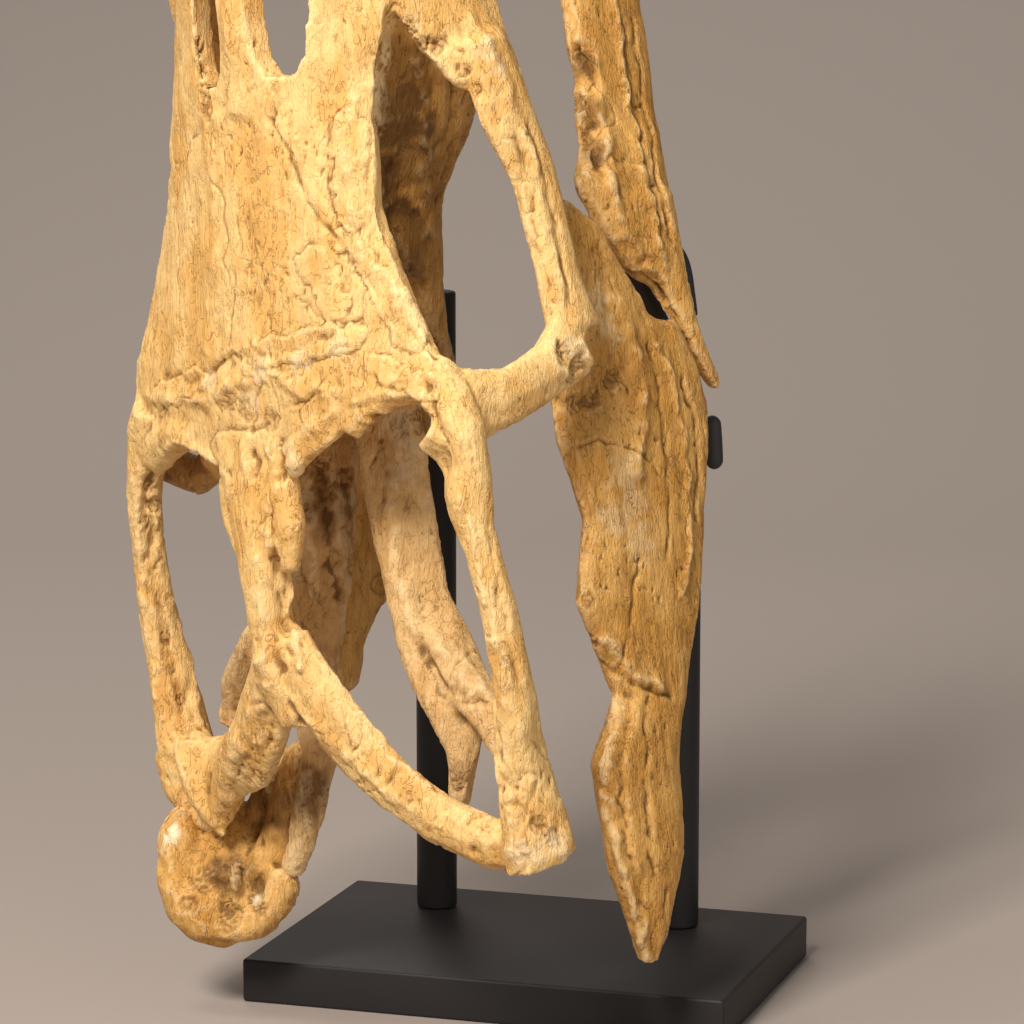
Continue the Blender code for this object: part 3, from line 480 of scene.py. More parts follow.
def only(objects, active=None):
    """Select just these objects."""
    bpy.ops.object.select_all(action="DESELECT")
    for item in objects:
        item.select_set(True)
    bpy.context.view_layer.objects.active = active or objects[0]


def numbers_of(items, key, kind=float, width=1):
    """One value, or a row of values, of each vertex, edge, face or corner of a mesh."""
    flat = np.empty(len(items) * width, kind)
    items.foreach_get(key, flat)
    return flat.reshape(-1, width) if width > 1 else flat


def merged_copy(name, nodes, seams=()):
    """One object of the merged copies of some solids, their seam faces pushed across the gap."""
    copies = []
    for node in nodes:
        item = bpy.data.objects.new(name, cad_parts[node].data.copy())
        item.data.materials.clear()
        bpy.context.scene.collection.objects.link(item)
        local = to_skull(numbers_of(item.data.vertices, "co", width=3))
        for seam in seams:
            centre, way = SEAMS[seam]
            way = np.array(way) / np.linalg.norm(way)
            off = (local - np.array(centre)) @ way
            close = np.abs(off) < SEAM_NEAR
            local[close] -= np.sign(off[close])[:, None] * way * SEAM_PUSH
        item.data.vertices.foreach_set("co", from_skull(local).ravel())
        copies.append(item)
    only(copies)
    if len(copies) > 1:
        bpy.ops.object.join()
    item = bpy.context.view_layer.objects.active
    item.name = name
    bpy.ops.object.mode_set(mode="EDIT")
    bpy.ops.mesh.select_all(action="SELECT")
    bpy.ops.mesh.remove_doubles(threshold=0.00002)
    bpy.ops.object.mode_set(mode="OBJECT")
    return item


def modify(item, name, kind, **settings):
    """Add a modifier with its settings and apply it."""
    only([item])
    made = item.modifiers.new(name, kind)
    for key, value in settings.items():
        setattr(made, key, value)
    bpy.ops.object.modifier_apply(modifier=made.name)


class Skin:
    """The points, faces and neighbours of a mesh as arrays, in the skull's frame."""

    def __init__(self, data):
        self.points = to_skull(numbers_of(data.vertices, "co", width=3))
        corner = numbers_of(data.loops, "vertex_index", np.int64)
        starts = numbers_of(data.polygons, "loop_start", np.int64)
        sizes = numbers_of(data.polygons, "loop_total", np.int64)
        four = starts[sizes == 4]
        three = starts[sizes == 3]
        quads = np.stack([corner[four + k] for k in range(4)], 1)
        tris = np.zeros((0, 3), np.int64)
        if len(three):
            tris = np.stack([corner[three + k] for k in range(3)], 1)
        self.faces = np.concatenate((quads[:, (0, 1, 2)], quads[:, (0, 2, 3)], tris))
        self.quads = quads
        self.pairs = numbers_of(data.edges, "vertices", np.int64, 2)
        self.degree = np.bincount(self.pairs.ravel(), minlength=len(self.points))[:, None]

    def average(self, values):
        """The mean of the values of each point's neighbours."""
        out = np.zeros_like(values)
        a, b = self.pairs.T
        for k in range(values.shape[1]):
            out[:, k] = np.bincount(a, values[b, k], len(values)) + np.bincount(b, values[a, k], len(values))
        return out / np.maximum(self.degree, 1)

    def smooth(self, rounds):
        """Take the corners off without shrinking."""
        for _ in range(rounds):
            self.points += 0.6 * (self.average(self.points) - self.points)
            self.points -= 0.62 * (self.average(self.points) - self.points)

    def soften(self, values, rounds, part):
        """Values drawn part of the way to their neighbours' mean, a number of times."""
        for _ in range(rounds):
            values = values + part * (self.average(values) - values)
        return values

    def normals(self):
        """The direction each point faces."""
        a, b, c = (self.points[self.faces[:, k]] for k in range(3))
        face = np.cross(b - a, c - a)
        out = np.zeros_like(self.points)
        for k in range(3):
            for axis in range(3):
                out[:, axis] += np.bincount(self.faces[:, k], face[:, axis], len(self.points))
        return out / np.maximum(np.linalg.norm(out, axis=1), 1e-9)[:, None]


def relief(group, p, edge):
    """How far in mm each point of a bone goes in (negative) or out, and where it is broken open."""
    depth = clouds(p / 30.0, 3) * 0.7 + clouds(p / 12.0, 5) * 0.32 + clouds(p / 5.0, 6) * 0.10
    grain = clouds(p / (2.4, 2.4, 30.0), 11) * 0.15 + clouds(p / (5.0, 5.0, 55.0), 12) * 0.26
    depth += grain * step(-0.5, 0.4, clouds(p / 60.0, 13) + 0.2)
    # Places where a thin outer layer of bone has flaked away.
    flake = step(0.20, 0.25, clouds(p / (13.0, 13.0, 30.0), 21) + 0.3 * clouds(p / 3.5, 22))
    depth -= 0.3 * flake * step(0.0, 0.3, clouds(p / 50.0, 23))
    # Short fibres lifted and frayed by cleaning.
    frayed = p + 2.2 * wander(p, (5.0, 5.0, 8.0), 46)
    fibre = np.abs(clouds(frayed / (4.0, 4.0, 11.0), 49))
    depth -= 0.30 * (1.0 - step(0.0, 0.13, fibre)) * step(-0.3, 0.3, clouds(p / 24.0, 56))
    # Small pits and long cracks.
    depth -= 0.9 * step(0.44, 0.58, clouds(p / (2.6, 2.6, 4.2), 31)) * step(0.0, 0.35, clouds(p / 30.0, 32))
    bent = p + 7.0 * wander(p, 15.0, 40)
    line = np.abs(clouds(bent / (30.0, 30.0, 90.0), 44))
    depth -= 0.7 * (1.0 - step(0.0, 0.05, line)) * step(0.0, 0.3, clouds(p / 45.0, 45))
    # Sharp edges are worn and chipped.
    chip = clouds(p / (4.0, 4.0, 6.5), 91) + 0.6 * clouds(p / 2.2, 92) - 0.15
    depth += edge * np.where(chip > 0.0, 0.15, 1.0) * chip * step(-0.2, 0.3, clouds(p / 22.0, 93))
    if group == "cranium":
        # The cheek bar is sound bone with a clean surface.
        depth *= 1.0 - 0.6 * step(84.0, 92.0, p[:, 0]) * step(52.0, 62.0, p[:, 1])
    raw = np.zeros(len(p))
    for deep, width, line in MARKS.get(group, ()):
        line = np.asarray(line, float)
        reach = width * 2.6 + 1.5
        inside = np.all((p > line.min(0) - reach) & (p < line.max(0) + reach), axis=1)
        where = np.nonzero(inside)[0]
        if len(where) == 0:
            continue
        near = p[where]
        wobble = wander(near, 5.0, 50) * min(1.4, 0.5 * width + 0.3)
        gap = way_off(near + wobble + 2.0 * wander(near, 11.0, 65), line)
        vary = 0.8 + 0.7 * clouds(near / 9.0, 57)
        depth[where] -= deep * vary * np.exp(-(gap / width) ** 2)
    for radius, high, line in PLATES.get(group, ()):
        where = np.nonzero(way_off(p, line) < radius * 1.6)[0]
        near = p[where]
        gap = way_off(near + 3.4 * wander(near, 9.0, 67), line) / radius + 0.25 * clouds(near / 4.0, 70)
        depth[where] += high * (1.0 - step(0.86, 1.02, gap))
        open_here = step(0.0, 0.3, clouds(near / 8.0, 73))
        depth[where] -= 0.6 * open_here * np.exp(-((gap - 1.04) / 0.09) ** 2)
    for centre, radius, deep in spots(BREAKS, group):
        gap = np.linalg.norm(p - centre, axis=1) / radius
        where = np.nonzero(gap < 1.6)[0]
        near = p[where]
        mask = 1.0 - step(0.75, 1.1, gap[where] + 0.35 * clouds(near / 6.0, 61))
        cells = step(0.0, 0.45, np.abs(clouds(near / 2.6, 62))) - 0.5
        depth[where] -= mask * deep * (0.5 - 0.9 * cells)
        raw[where] = np.maximum(raw[where], mask)
    return depth, raw


def filled(group, p):
    """How much museum filler covers each point, from 0 to 1."""
    mask = np.zeros(len(p))
    strong = {"left_quadrate": 1.0, "right_hind_jaw": 0.28}.get(group, 0.42)
    for centre, radius in spots(FILLER, group):
        gap = np.linalg.norm(p - centre, axis=1) / (1.3 * radius)
        mask = np.maximum(mask, strong * (1.0 - step(0.3, 1.2, gap + 0.8 * clouds(p / 4.0, 71))))
    return mask


def owners(names, p):
    """Which solid each point of a joined skin belongs to, as an index in names."""
    if len(names) == 1:
        return np.zeros(len(p), np.int64)
    jag = p + 2.6 * wander(p, 7.0, 80)

    def beyond(seam):
        centre, way = SEAMS[seam]
        return (jag - np.array(centre)) @ np.array(way) > 0.0

    side = np.where(p[:, 0] > 0.0, beyond("side_r"), beyond("side_l"))
    outer = np.where(p[:, 0] > 0.0, beyond("inner_r"), beyond("inner_l"))
    right = p[:, 0] > 0.0
    name = np.full(len(p), names.index("parietal"))
    name[outer & right] = names.index("right_temporal_bar")
    name[outer & ~right] = names.index("left_temporal_bar")
    name[beyond("rear")] = names.index("frontal")
    name[side & right] = names.index("right_jugal")
    name[side & ~right] = names.index("left_jugal")
    name[beyond("front")] = names.index("snout")
    return name


def cut_out(name, skin, faces, values, material, node):
    """A closed object of some of the faces of a skin, its open rims filled."""
    used, inverse = np.unique(faces.ravel(), return_inverse=True)
    data = bpy.data.meshes.new(name)
    width = faces.shape[1]
    data.vertices.add(len(used))
    data.vertices.foreach_set("co", from_skull(skin.points[used]).ravel())
    data.loops.add(len(inverse))
    data.loops.foreach_set("vertex_index", inverse.astype(np.int32))
    data.polygons.add(len(faces))
    data.polygons.foreach_set("loop_start", np.arange(0, len(inverse), width, dtype=np.int32))
    data.update(calc_edges=True)
    for label, numbers in values.items():
        layer = data.attributes.new(label, "FLOAT", "POINT")
        layer.data.foreach_set("value", numbers[used].astype(np.float32))
    item = bpy.data.objects.new(name, data)
    bpy.context.scene.collection.objects.link(item)
    mesh = bmesh.new()
    mesh.from_mesh(data)
    rim = [e for e in mesh.edges if len(e.link_faces) == 1]
    if rim:
        # The cap lies a little inside the rim, so that nothing of it shows at the seam.
        mesh.normal_update()
        inward = {tuple(v.co): v.normal * -CAP_DEPTH for e in rim for v in e.verts}
        for edge in rim:
            edge.smooth = False
        lip = bmesh.ops.extrude_edge_only(mesh, edges=rim)["geom"]
        for corner in (part for part in lip if isinstance(part, bmesh.types.BMVert)):
            corner.co += inward[tuple(corner.co)]
        bmesh.ops.holes_fill(mesh, edges=[e for e in mesh.edges if len(e.link_faces) == 1], sides=0)
    for face in mesh.faces:
        face.smooth = True
    mesh.to_mesh(data)
    mesh.free()
    data.materials.append(material)
    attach(item, "root")
    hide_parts(node)
    return item


def knobs(group):
    """The added knobs of a group as one object of round-ended bars, or None."""
    mesh = bmesh.new()
    for line in KNOBS.get(group, ()):
        balls = [(Vector(from_skull(np.array([p[:3]]))[0]), p[3] * SKULL_SCALE * 0.001) for p in line]
        for place, radius in balls:
            bmesh.ops.create_icosphere(mesh, subdivisions=2, radius=radius, matrix=Matrix.Translation(place))
        for (first, r0), (last, r1) in zip(balls, balls[1:]):
            way = last - first
            turn = way.to_track_quat("Z", "Y").to_matrix().to_4x4()
            bmesh.ops.create_cone(mesh, cap_ends=True, segments=16, radius1=r0, radius2=r1, depth=way.length,
                                  matrix=Matrix.Translation((first + last) / 2.0) @ turn)
    if not mesh.verts:
        mesh.free()
        return None
    data = bpy.data.meshes.new(group + "_knobs")
    mesh.to_mesh(data)
    mesh.free()
    item = bpy.data.objects.new(group + "_knobs", data)
    bpy.context.scene.collection.objects.link(item)
    return item


def grow_bones(group, nodes, material, voxel, seams=()):
    """Weathered bones over a group of solids that grew, or are bonded, together."""
    item = merged_copy(group, nodes, seams)
    extra = knobs(group)
    if extra:
        only([item, extra], item)
        bpy.ops.object.join()
    modify(item, "Even skin", "REMESH", mode="VOXEL", voxel_size=voxel * 0.001)
    skin = Skin(item.data)
    skin.smooth(10)
    for start, full, shift in SHIFTS.get(group, ()):
        skin.points += step(start, full, skin.points[:, 2])[:, None] * np.array(shift)
    for centre, radius, shift in PULLS.get(group, ()):
        gap = np.linalg.norm(skin.points - np.array(centre), axis=1) / radius
        skin.points += np.exp(-gap ** 2)[:, None] * np.array(shift)
    normal = skin.normals()
    soft = skin.soften(skin.points, 30, 0.8)
    edge = np.clip(((skin.points - soft) * normal).sum(1) / 1.3 - 0.25, 0.0, 1.0)
    depth, raw = relief(group, skin.points, edge)
    skin.points += normal * depth[:, None]
    normal = skin.normals()
    # How hollow or ridged each point is: it drives the painted shade in hollows and the painted highlight on
    # ridges.
    soft = skin.soften(skin.points, 3, 0.7)
    fine = ((soft - skin.points) * normal).sum(1)
    soft = skin.soften(soft, 24, 0.8)
    broad = ((soft - skin.points) * normal).sum(1)
    cavity_shade_ridge_light = np.clip(fine / 0.24, -1.0, 1.0) * 0.5 + np.clip(broad / 1.3, -1.0, 1.0) * 0.5
    p = skin.points
    tone = 0.5 + 0.9 * clouds(p / (24.0, 24.0, 36.0), 101) + 0.5 * clouds(p / (8.0, 8.0, 14.0), 102)
    tone += 0.35 * clouds(p / (3.0, 3.0, 9.0), 103)
    stain_and_painted_shadow = step(0.12, 0.42, clouds(p / (14.0, 14.0, 22.0), 104) + 0.5 * clouds(p / 4.5, 105))
    # Painted shadow: the listed shadow spots are lifted far above the random staining, so that they take the
    # shade colour.
    for centre, radius in spots(PAINTED_SHADOWS, group):
        gap = np.linalg.norm(p - centre, axis=1) / radius + 0.3 * clouds(p / 7.0, 106)
        stain_and_painted_shadow += 2.6 * (1.0 - step(0.55, 1.1, gap))
    values = {"cavity_shade_ridge_light": cavity_shade_ridge_light, "raw": raw, "filler": filled(group, p), "tone": tone, "stain_and_painted_shadow": stain_and_painted_shadow}
    bpy.data.objects.remove(item, do_unlink=True)
    owner = owners(list(nodes), skin.points[skin.quads].mean(1))
    for index, node in enumerate(nodes):
        faces = skin.quads[owner == index]
        piece = cut_out(node + "_bone", skin, faces, values, material, node)
        if piece.name in THINNED:
            share, start = THINNED[piece.name]
            far = piece.vertex_groups.new(name="far from the seam")
            beyond = skin.points[np.unique(faces), 2] > start
            far.add([int(k) for k in np.nonzero(beyond)[0]], 1.0, "REPLACE")
            modify(piece, "Fewer", "DECIMATE", ratio=share, vertex_group=far.name)


# Materials

def add(tree, kind, values, **settings):
    """Add a node with its settings and inputs, and give its outputs. An input is a constant or
    the output it comes from."""
    node = tree.nodes.new(kind)
    for key, value in settings.items():
        setattr(node, key, value)
    for key, value in values.items():
        if isinstance(value, bpy.types.NodeSocket):
            tree.links.new(value, node.inputs[key])
        else:
            node.inputs[key].default_value = value
    return node.outputs


def blank(name, colour=None, rough=0.62, gloss=0.5):
    """A material with an empty tree but for its shader."""
    made = bpy.data.materials.new(name)
    made.use_nodes = True
    shader = made.node_tree.nodes["Principled BSDF"]
    if colour:
        shader.inputs["Base Color"].default_value = tuple(colour) + (1.0,)
    shader.inputs["Roughness"].default_value = rough
    shader.inputs["Specular IOR Level"].default_value = gloss
    return made, made.node_tree, shader


def noise(tree, place, scale, detail, rough=0.5, bent=0.0):
    """Noise whose features are about one part in scale of a metre wide."""
    values = {"Vector": place, "Scale": scale, "Detail": detail, "Roughness": rough, "Distortion": bent}
    return add(tree, "ShaderNodeTexNoise", values)[0]


def maths(tree, operation, *terms):
    """The result of a sum on outputs and constants."""
    return add(tree, "ShaderNodeMath", dict(enumerate(terms)), operation=operation)[0]


def over(tree, value, low, high, top=1.0, start=0.0):
    """A value that goes evenly from start to top as another goes from low to high."""
    values = {"Value": value, "From Min": low, "From Max": high, "To Min": start, "To Max": top}
    return add(tree, "ShaderNodeMapRange", values)[0]


def raise_surface(tree, shader, height, strength, distance):
    """Make the surface follow a height, in m."""
    values = {"Strength": strength, "Distance": distance, "Height": height}
    tree.links.new(add(tree, "ShaderNodeBump", values)[0], shader.inputs["Normal"])


def fossil_bone(name, light, middle, dark, shade):
    """Permineralised bone from phosphate beds, cleaned by hand and consolidated: dry and
    matt, straw to ochre at random, with painted highlight in cream on what stands out and painted shade in
    brown in hollows."""
    made, tree, shader = blank(name, None, 0.62, 0.3)
    place = add(tree, "ShaderNodeTexCoord", {})["Object"]
    upright = {"Vector": place, "Rotation": (0.0, math.radians(-3.4), 0.0)}
    turned = add(tree, "ShaderNodeMapping", upright)[0]
    # Grain of the bone runs along the skull: streaks some 1.2 mm wide and 12 mm long.
    long_way = add(tree, "ShaderNodeMapping", {"Vector": turned, "Scale": (1.0, 1.0, 0.1)})[0]
    grain = noise(tree, long_way, 850.0, 3.0, 0.6)
    # Pores and short fibres, 0.6 mm.
    short = add(tree, "ShaderNodeMapping", {"Vector": turned, "Scale": (1.0, 1.0, 0.4)})[0]
    pore = noise(tree, short, 1100.0, 2.0, 0.7)
    # Fine drying cracks: lines where a bent noise crosses its middle, 0.3 mm wide.
    swirl = noise(tree, short, 210.0, 3.0, 0.55, 0.8)
    # Short frayed fibres, 2 to 6 mm long, left by the cleaning needle.
    fray = noise(tree, short, 430.0, 2.0, 0.5, 1.3)
    lines = []
    for pattern, narrow, wide in ((swirl, 0.004, 0.016), (fray, 0.006, 0.030)):
        off = maths(tree, "ABSOLUTE", maths(tree, "SUBTRACT", pattern, 0.5))
        lines.append(over(tree, off, narrow, wide, 0.0, 1.0))
    line, fibre = lines
    marks = {key: add(tree, "ShaderNodeAttribute", {}, attribute_name=key)["Fac"]
             for key in ("cavity_shade_ridge_light", "raw", "filler", "tone", "stain_and_painted_shadow")}
    line_part = maths(tree, "MULTIPLY", line, over(tree, marks["tone"], 0.75, 0.25, 0.5))
    frayed = maths(tree, "MULTIPLY", fibre, over(tree, marks["tone"], 0.55, 1.0, 0.16))
    # Each coat lies over the ones before it: how much of it there is, and its colour.
    coats = (
        (over(tree, marks["tone"], 0.15, 0.85), light),
        # Random brown staining, then painted shadow at the listed shadow spots in the shade colour.
        (over(tree, marks["stain_and_painted_shadow"], 0.0, 1.0, 0.22), dark),
        (over(tree, marks["stain_and_painted_shadow"], 1.2, 3.4, 0.8), shade),
        (over(tree, grain, 0.52, 0.70, 0.22), dark),
        # Painted highlight in cream on ridges, then painted shade in hollows.
        (over(tree, marks["cavity_shade_ridge_light"], -0.25, -0.95, 0.35), "#FFE9B8"),
        (over(tree, marks["cavity_shade_ridge_light"], 0.12, 0.85, 0.80), shade),
        (over(tree, marks["raw"], 0.3, 0.9, 0.35), "#9A7140"),
        (over(tree, marks["filler"], 0.0, 1.0, 0.9), "#F3E1BA"),
        (over(tree, pore, 0.67, 0.73, 0.7), shade),
        (line_part, shade),
        (frayed, dark),
    )
    colour = linear(middle)
    for amount, coat in coats:
        colour = add(tree, "ShaderNodeMix", {0: amount, 6: colour, 7: linear(coat)}, data_type="RGBA")[2]
    tree.links.new(colour, shader.inputs["Base Color"])
    height = grain
    for pattern, share in ((pore, -1.1), (swirl, 1.2), (frayed, -0.10), (line, -0.40)):
        height = maths(tree, "MULTIPLY_ADD", pattern, share, height)
    raise_surface(tree, shader, height, 0.9, 0.00055)
    return made


def coated(name, colour, rough, gloss, scale, detail, strength):
    """An even, slightly pebbled skin over one colour."""
    made, tree, shader = blank(name, colour, rough, gloss)
    place = add(tree, "ShaderNodeTexCoord", {})["Object"]
    raise_surface(tree, shader, noise(tree, place, scale, detail), strength, 0.0002)
    return made


# Settings

def number(name, about, value, **more):
    """A setting of one number, a length unless more says otherwise."""
    return FloatProperty(name=name, description=about, default=value, **(more or {"unit": "LENGTH"}))


def tint(name, about, code):
    """A setting of one colour, written as sRGB hex."""
    return FloatVectorProperty(name=name, description=about, size=3, subtype="COLOR",
                               default=linear(code)[:3])


class FossilBoneSettings(bpy.types.PropertyGroup):
    """How fine the bone is drawn: the width in mm of the small squares of its skin."""
    cranium_cell: number("Cranium cell", "On the skull roof, snout and cheeks", 1.05, min=0.8, max=6.0)
    jaw_cell: number("Jaw cell", "On the right jaw, pterygoid and the quadrate", 1.05, min=0.8, max=6.0)
    far_cell: number("Far cell", "On the left, far jaw and pterygoid", 1.35, min=0.8, max=6.0)


class FossilStandSettings(bpy.types.PropertyGroup):
    """Sizes and colours of the stand."""
    plate: FloatVectorProperty(name="Plate", description="Width, depth and thickness of the plate", size=3,
                               default=(0.226, 0.153, 0.020), subtype="XYZ", unit="LENGTH")
    corner: number("Plate corner", "Radius of the plate's upright corners", 0.007)
    post: number("Post", "Diameter of the posts", 0.019)
    post_spacing: number("Post spacing", "Distance between the posts", 0.119)
    post_back: number("Post back", "How far behind the middle the posts stand", 0.041)
    post_tops: FloatVectorProperty(name="Post tops", description="Height of the left and right post", size=2,
                                   default=(0.314, 0.262), unit="LENGTH")
    coat: tint("Coat", "Colour of the powder coat", "#2A2828")
    rubber: tint("Rubber", "Colour of the rubber sleeves", "#2A2A2B")


class FossilStudioSettings(bpy.types.PropertyGroup):
    """Camera and paper colour of the studio."""
    distance: FloatVectorProperty(name="Camera", description="Place of the camera", size=3, unit="LENGTH",
                                  default=(0.5688, -1.7992, 0.5272))
    lens: number("Lens", "Focal length in mm on a 36 mm wide film", 147.66, min=1.0)
    pitch: number("Pitch", "How far the camera looks down", math.radians(9.27), subtype="ANGLE")
    turn: number("Turn", "How far round the camera stands", math.radians(17.8), subtype="ANGLE")
    floor: tint("Floor", "Colour of floor and backdrop", "#A2978F")


# Operators

def grow_each(nodes, material, cells):
    """One weathered bone over each of some solids, drawn coarser on the far side."""
    for node in nodes:
        cell = cells.far_cell if node in FAR_BONES else cells.jaw_cell
        grow_bones(node, (node,), material, cell)


class FOSSIL_OT_cranium(bpy.types.Operator):
    """Skull roof, snout, cheek and temporal bars"""
    bl_idname = "fossil.cranium"
    bl_label = "Cranium"

    def execute(self, context):
        made = fossil_bone("Fossil bone, cleaned, straw ochre", "#F3CB86", "#E7B468", "#BE883F", "#7A4F20")
        cell = context.scene.fossil_bone.cranium_cell
        grow_bones("cranium", CRANIUM, made, cell, tuple(SEAMS))
        return {"FINISHED"}


class FOSSIL_OT_palate(bpy.types.Operator):
    """Pterygoids and the quadrate"""
    bl_idname = "fossil.palate"
    bl_label = "Palate and quadrate"

    def execute(self, context):
        pale = fossil_bone("Fossil bone, cleaned, mottled tan", "#E2BA7E", "#CFA264", "#A47638", "#6A4620")
        brown = fossil_bone("Fossil bone, cleaned, ochre brown", "#D9A75C", "#C28D42", "#97672B", "#593A15")
        grow_each(("right_pterygoid", "left_pterygoid"), pale, context.scene.fossil_bone)
        grow_each(("left_quadrate",), brown, context.scene.fossil_bone)
        return {"FINISHED"}


class FOSSIL_OT_jaws(bpy.types.Operator):
    """Dentaries and hind jaws"""
    bl_idname = "fossil.jaws"
    bl_label = "Lower jaws"

    def execute(self, context):
        made = bpy.data.materials["Fossil bone, cleaned, ochre brown"]
        grow_each(("right_dentary", "right_hind_jaw", "left_dentary", "left_hind_jaw"), made,
                  context.scene.fossil_bone)
        return {"FINISHED"}


def finish_stand(item, node, material):
    """Place a stand piece, give it its material and let it stand for its solid."""
    only([item])
    bpy.ops.object.transform_apply(location=True, rotation=True, scale=True)
    item.data.materials.clear()
    item.data.materials.append(material)
    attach(item, "root")
    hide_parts(node)


def bevel(item, width, segments):
    """Round the sharp edges of an object."""
    modify(item, "Edge", "BEVEL", width=width, segments=segments, limit_method="ANGLE",
           angle_limit=math.radians(60.0))


def keep_ends(item):
    """Crease the sharp edges of a bar, so that rounding it leaves its ends where they are."""
    mesh = bmesh.new()
    mesh.from_mesh(item.data)
    crease = mesh.edges.layers.float.get("crease_edge") or mesh.edges.layers.float.new("crease_edge")
    for edge in mesh.edges:
        if len(edge.link_faces) == 2 and edge.calc_face_angle() > math.radians(55.0):
            edge[crease] = 1.0
    mesh.to_mesh(item.data)
    mesh.free()


class FOSSIL_OT_stand(bpy.types.Operator):
    """Plate, posts, bars and sleeves"""
    bl_idname = "fossil.stand"
    bl_label = "Stand"

    def execute(self, context):
        settings = context.scene.fossil_stand
        # Satin powder coat has broad soft highlights. Its pebble is 0.8 mm, a little coarser
        # than real so that it shows. Extruded rubber tube is duller and smoother.
        coat = coated("Mild steel, satin black powder coat", settings.coat, 0.48, 0.20, 900.0, 2.0, 0.15)
        rubber = coated("Rubber tube, extruded, black", settings.rubber, 0.62, 0.5, 600.0, 3.0, 0.2)
        width, depth, thick = settings.plate
        bpy.ops.object.select_all(action="DESELECT")
        bpy.ops.mesh.primitive_cube_add(size=1.0, location=(0.0, 0.0, thick / 2.0),
                                        scale=(width, depth, thick))
        plate = context.object
        plate.name = "plate"
        bpy.ops.object.transform_apply(location=True, rotation=True, scale=True)
        bpy.ops.object.mode_set(mode="EDIT")
        mesh = bmesh.from_edit_mesh(plate.data)
        bpy.ops.mesh.select_all(action="DESELECT")
        for edge in mesh.edges:
            first, last = (v.co for v in edge.verts)
            edge.select_set(abs(first.z - last.z) > thick * 0.5)
        bmesh.update_edit_mesh(plate.data)
        bpy.ops.mesh.bevel(offset=settings.corner, segments=8, affect="EDGES")
        bpy.ops.object.mode_set(mode="OBJECT")
        bevel(plate, 0.0016, 4)
        for polygon in plate.data.polygons:
            polygon.use_smooth = True
        bpy.ops.object.shade_smooth_by_angle(angle=math.radians(25.0))
        finish_stand(plate, "base_plate", coat)
        for node, side, top in zip(("left_post", "right_post"), (-1.0, 1.0), settings.post_tops):
            height = top - thick - GAP
            bpy.ops.object.select_all(action="DESELECT")
            bpy.ops.mesh.primitive_cylinder_add(
                vertices=64, radius=settings.post / 2.0, depth=height,
                location=(side * settings.post_spacing / 2.0, settings.post_back, thick + GAP + height / 2.0))
            post = context.object
            post.name = node + "_bar"
            bevel(post, 0.0012, 3)
            bpy.ops.object.shade_smooth_by_angle(angle=math.radians(40.0))
            finish_stand(post, node, coat)
        for node in ("jaw_loop_rod", "jaw_stop_rod", "cranium_arm", "jaw_loop_sleeve", "jaw_stop_sleeve",
                     "cranium_sleeve"):
            bar = merged_copy(node + "_skin", (node,))
            soft = node.endswith("sleeve")
            keep_ends(bar)
            modify(bar, "Round", "SUBSURF", levels=2, render_levels=2)
            bpy.ops.object.shade_smooth_by_angle(angle=math.radians(50.0))
            slot, skin = ("black_rubber", rubber) if soft else ("black_painted_steel", coat)
            finish_stand(bar, node, skin)
        return {"FINISHED"}


def put(scene, name, data, place, turn):
    """A lamp or camera in the scene."""
    item = bpy.data.objects.new(name, data)
    item.location = place
    item.rotation_euler = turn
    scene.collection.objects.link(item)
    return item


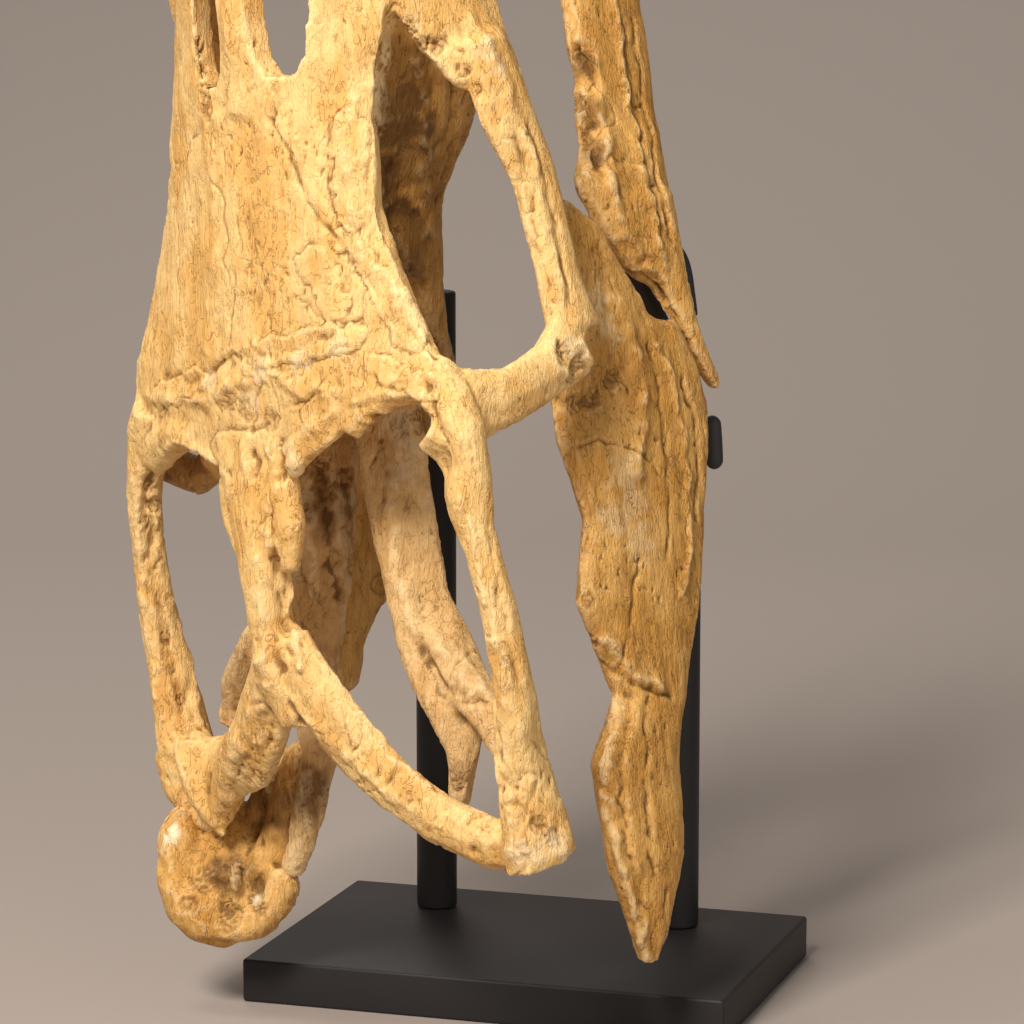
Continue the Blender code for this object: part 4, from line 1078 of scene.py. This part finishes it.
class FOSSIL_OT_studio(bpy.types.Operator):
    """Floor, backdrop, lights and camera"""
    bl_idname = "fossil.studio"
    bl_label = "Studio"

    def execute(self, context):
        settings = context.scene.fossil_studio
        scene = context.scene
        paper = blank("Paper backdrop, matt", settings.floor, 0.9, 0.1)[0]
        # One sheet of paper: flat under the object, curving up behind it into a wall.
        bpy.ops.object.select_all(action="DESELECT")
        bpy.ops.curve.primitive_bezier_curve_add(location=(0.0, 0.0, 0.0))
        sweep = context.object
        sweep.name = "backdrop"
        spline = sweep.data.splines[0]
        spline.bezier_points.add(2)
        profile = ((-5.0, 0.0), (1.2, 0.0), (3.2, 2.0), (3.2, 7.0))
        for point, (back_way, high) in zip(spline.bezier_points, profile):
            point.handle_left_type = "VECTOR"
            point.handle_right_type = "VECTOR"
            point.co = (back_way, high, 0.0)
        flat, rise = spline.bezier_points[1:3]
        flat.handle_right_type = "FREE"
        rise.handle_left_type = "FREE"
        flat.handle_right = (2.3, 0.0, 0.0)
        rise.handle_left = (3.2, 0.9, 0.0)
        sweep.data.dimensions = "2D"
        sweep.data.fill_mode = "NONE"
        sweep.data.resolution_u = 48
        sweep.data.extrude = 6.0
        only([sweep])
        bpy.ops.object.convert(target="MESH")
        sweep.rotation_euler = (math.radians(90.0), 0.0, math.radians(90.0) + settings.turn)
        only([sweep])
        bpy.ops.object.transform_apply(location=True, rotation=True, scale=True)
        bpy.ops.object.shade_smooth()
        sweep.data.materials.append(paper)
        # The wall lamp, above and behind the object, lifts the paper alone. The rest aim at the skull.
        lights = (
            ("wall lamp", (0.2, 1.2, 2.6), 2.4, 18.0, "#FFFFFF"),
            ("key", (-0.30, -2.06, 2.1), 0.7, 94.0, "#FFF8F0"),
            ("top", (-0.7, -0.55, 2.5), 0.6, 12.0, "#FFFCF8"),
            ("fill", (2.2, -1.9, 0.9), 1.8, 22.0, "#FFF8F0"),
            ("rim", (-0.9, 1.3, 1.6), 0.8, 7.0, "#FFFCF8"),
        )
        for name, place, size, power, colour in lights:
            data = bpy.data.lights.new(name, "AREA")
            data.size = size
            data.energy = power
            data.color = linear(colour)[:3]
            turn = (math.radians(75.0), 0.0, settings.turn)
            if name != "wall lamp":
                turn = (Vector((0.0, 0.0, 0.3)) - Vector(place)).to_track_quat("-Z", "Y").to_euler()
            lamp = put(scene, name, data, place, turn)
        world = bpy.data.worlds.new("Studio air")
        scene.world = world
        world.use_nodes = True
        back = world.node_tree.nodes["Background"]
        back.inputs["Color"].default_value = linear("#D8D6D3")
        back.inputs["Strength"].default_value = 0.22
        data = bpy.data.cameras.new("camera")
        data.sensor_width = 36.0
        data.lens = settings.lens
        data.clip_start = 0.05
        data.clip_end = 50.0
        turn = (math.radians(90.0) - settings.pitch, 0.0, settings.turn)
        scene.camera = put(scene, "camera", data, settings.distance, turn)
        scene.view_settings.view_transform = "Standard"
        return {"FINISHED"}


class FOSSIL_PT_panel(bpy.types.Panel):
    """Lists the pieces and their settings"""
    bl_label = "Fossil skull"
    bl_idname = "FOSSIL_PT_panel"
    bl_space_type = "VIEW_3D"
    bl_region_type = "UI"
    bl_category = "Fossil"

    def draw(self, context):
        for group in (context.scene.fossil_bone, context.scene.fossil_stand, context.scene.fossil_studio):
            for key in group.__annotations__:
                self.layout.prop(group, key)
        for operator in OPERATORS:
            self.layout.operator(operator.bl_idname)


OPERATORS = (FOSSIL_OT_cranium, FOSSIL_OT_palate, FOSSIL_OT_jaws, FOSSIL_OT_stand, FOSSIL_OT_studio)
CLASSES = (FossilBoneSettings, FossilStandSettings, FossilStudioSettings) + OPERATORS + (FOSSIL_PT_panel,)


def register():
    """Register the classes and hang the settings on the scene."""
    for item in CLASSES:
        bpy.utils.register_class(item)
    bpy.types.Scene.fossil_bone = PointerProperty(type=FossilBoneSettings)
    bpy.types.Scene.fossil_stand = PointerProperty(type=FossilStandSettings)
    bpy.types.Scene.fossil_studio = PointerProperty(type=FossilStudioSettings)


def unregister():
    """Take the settings and classes away again."""
    del bpy.types.Scene.fossil_bone
    del bpy.types.Scene.fossil_stand
    del bpy.types.Scene.fossil_studio
    for item in reversed(CLASSES):
        bpy.utils.unregister_class(item)


def main():
    """Build everything in order."""
    register()
    bpy.ops.fossil.cranium()
    bpy.ops.fossil.palate()
    bpy.ops.fossil.jaws()
    bpy.ops.fossil.stand()
    bpy.ops.fossil.studio()


if __name__ == "__main__":
    main()
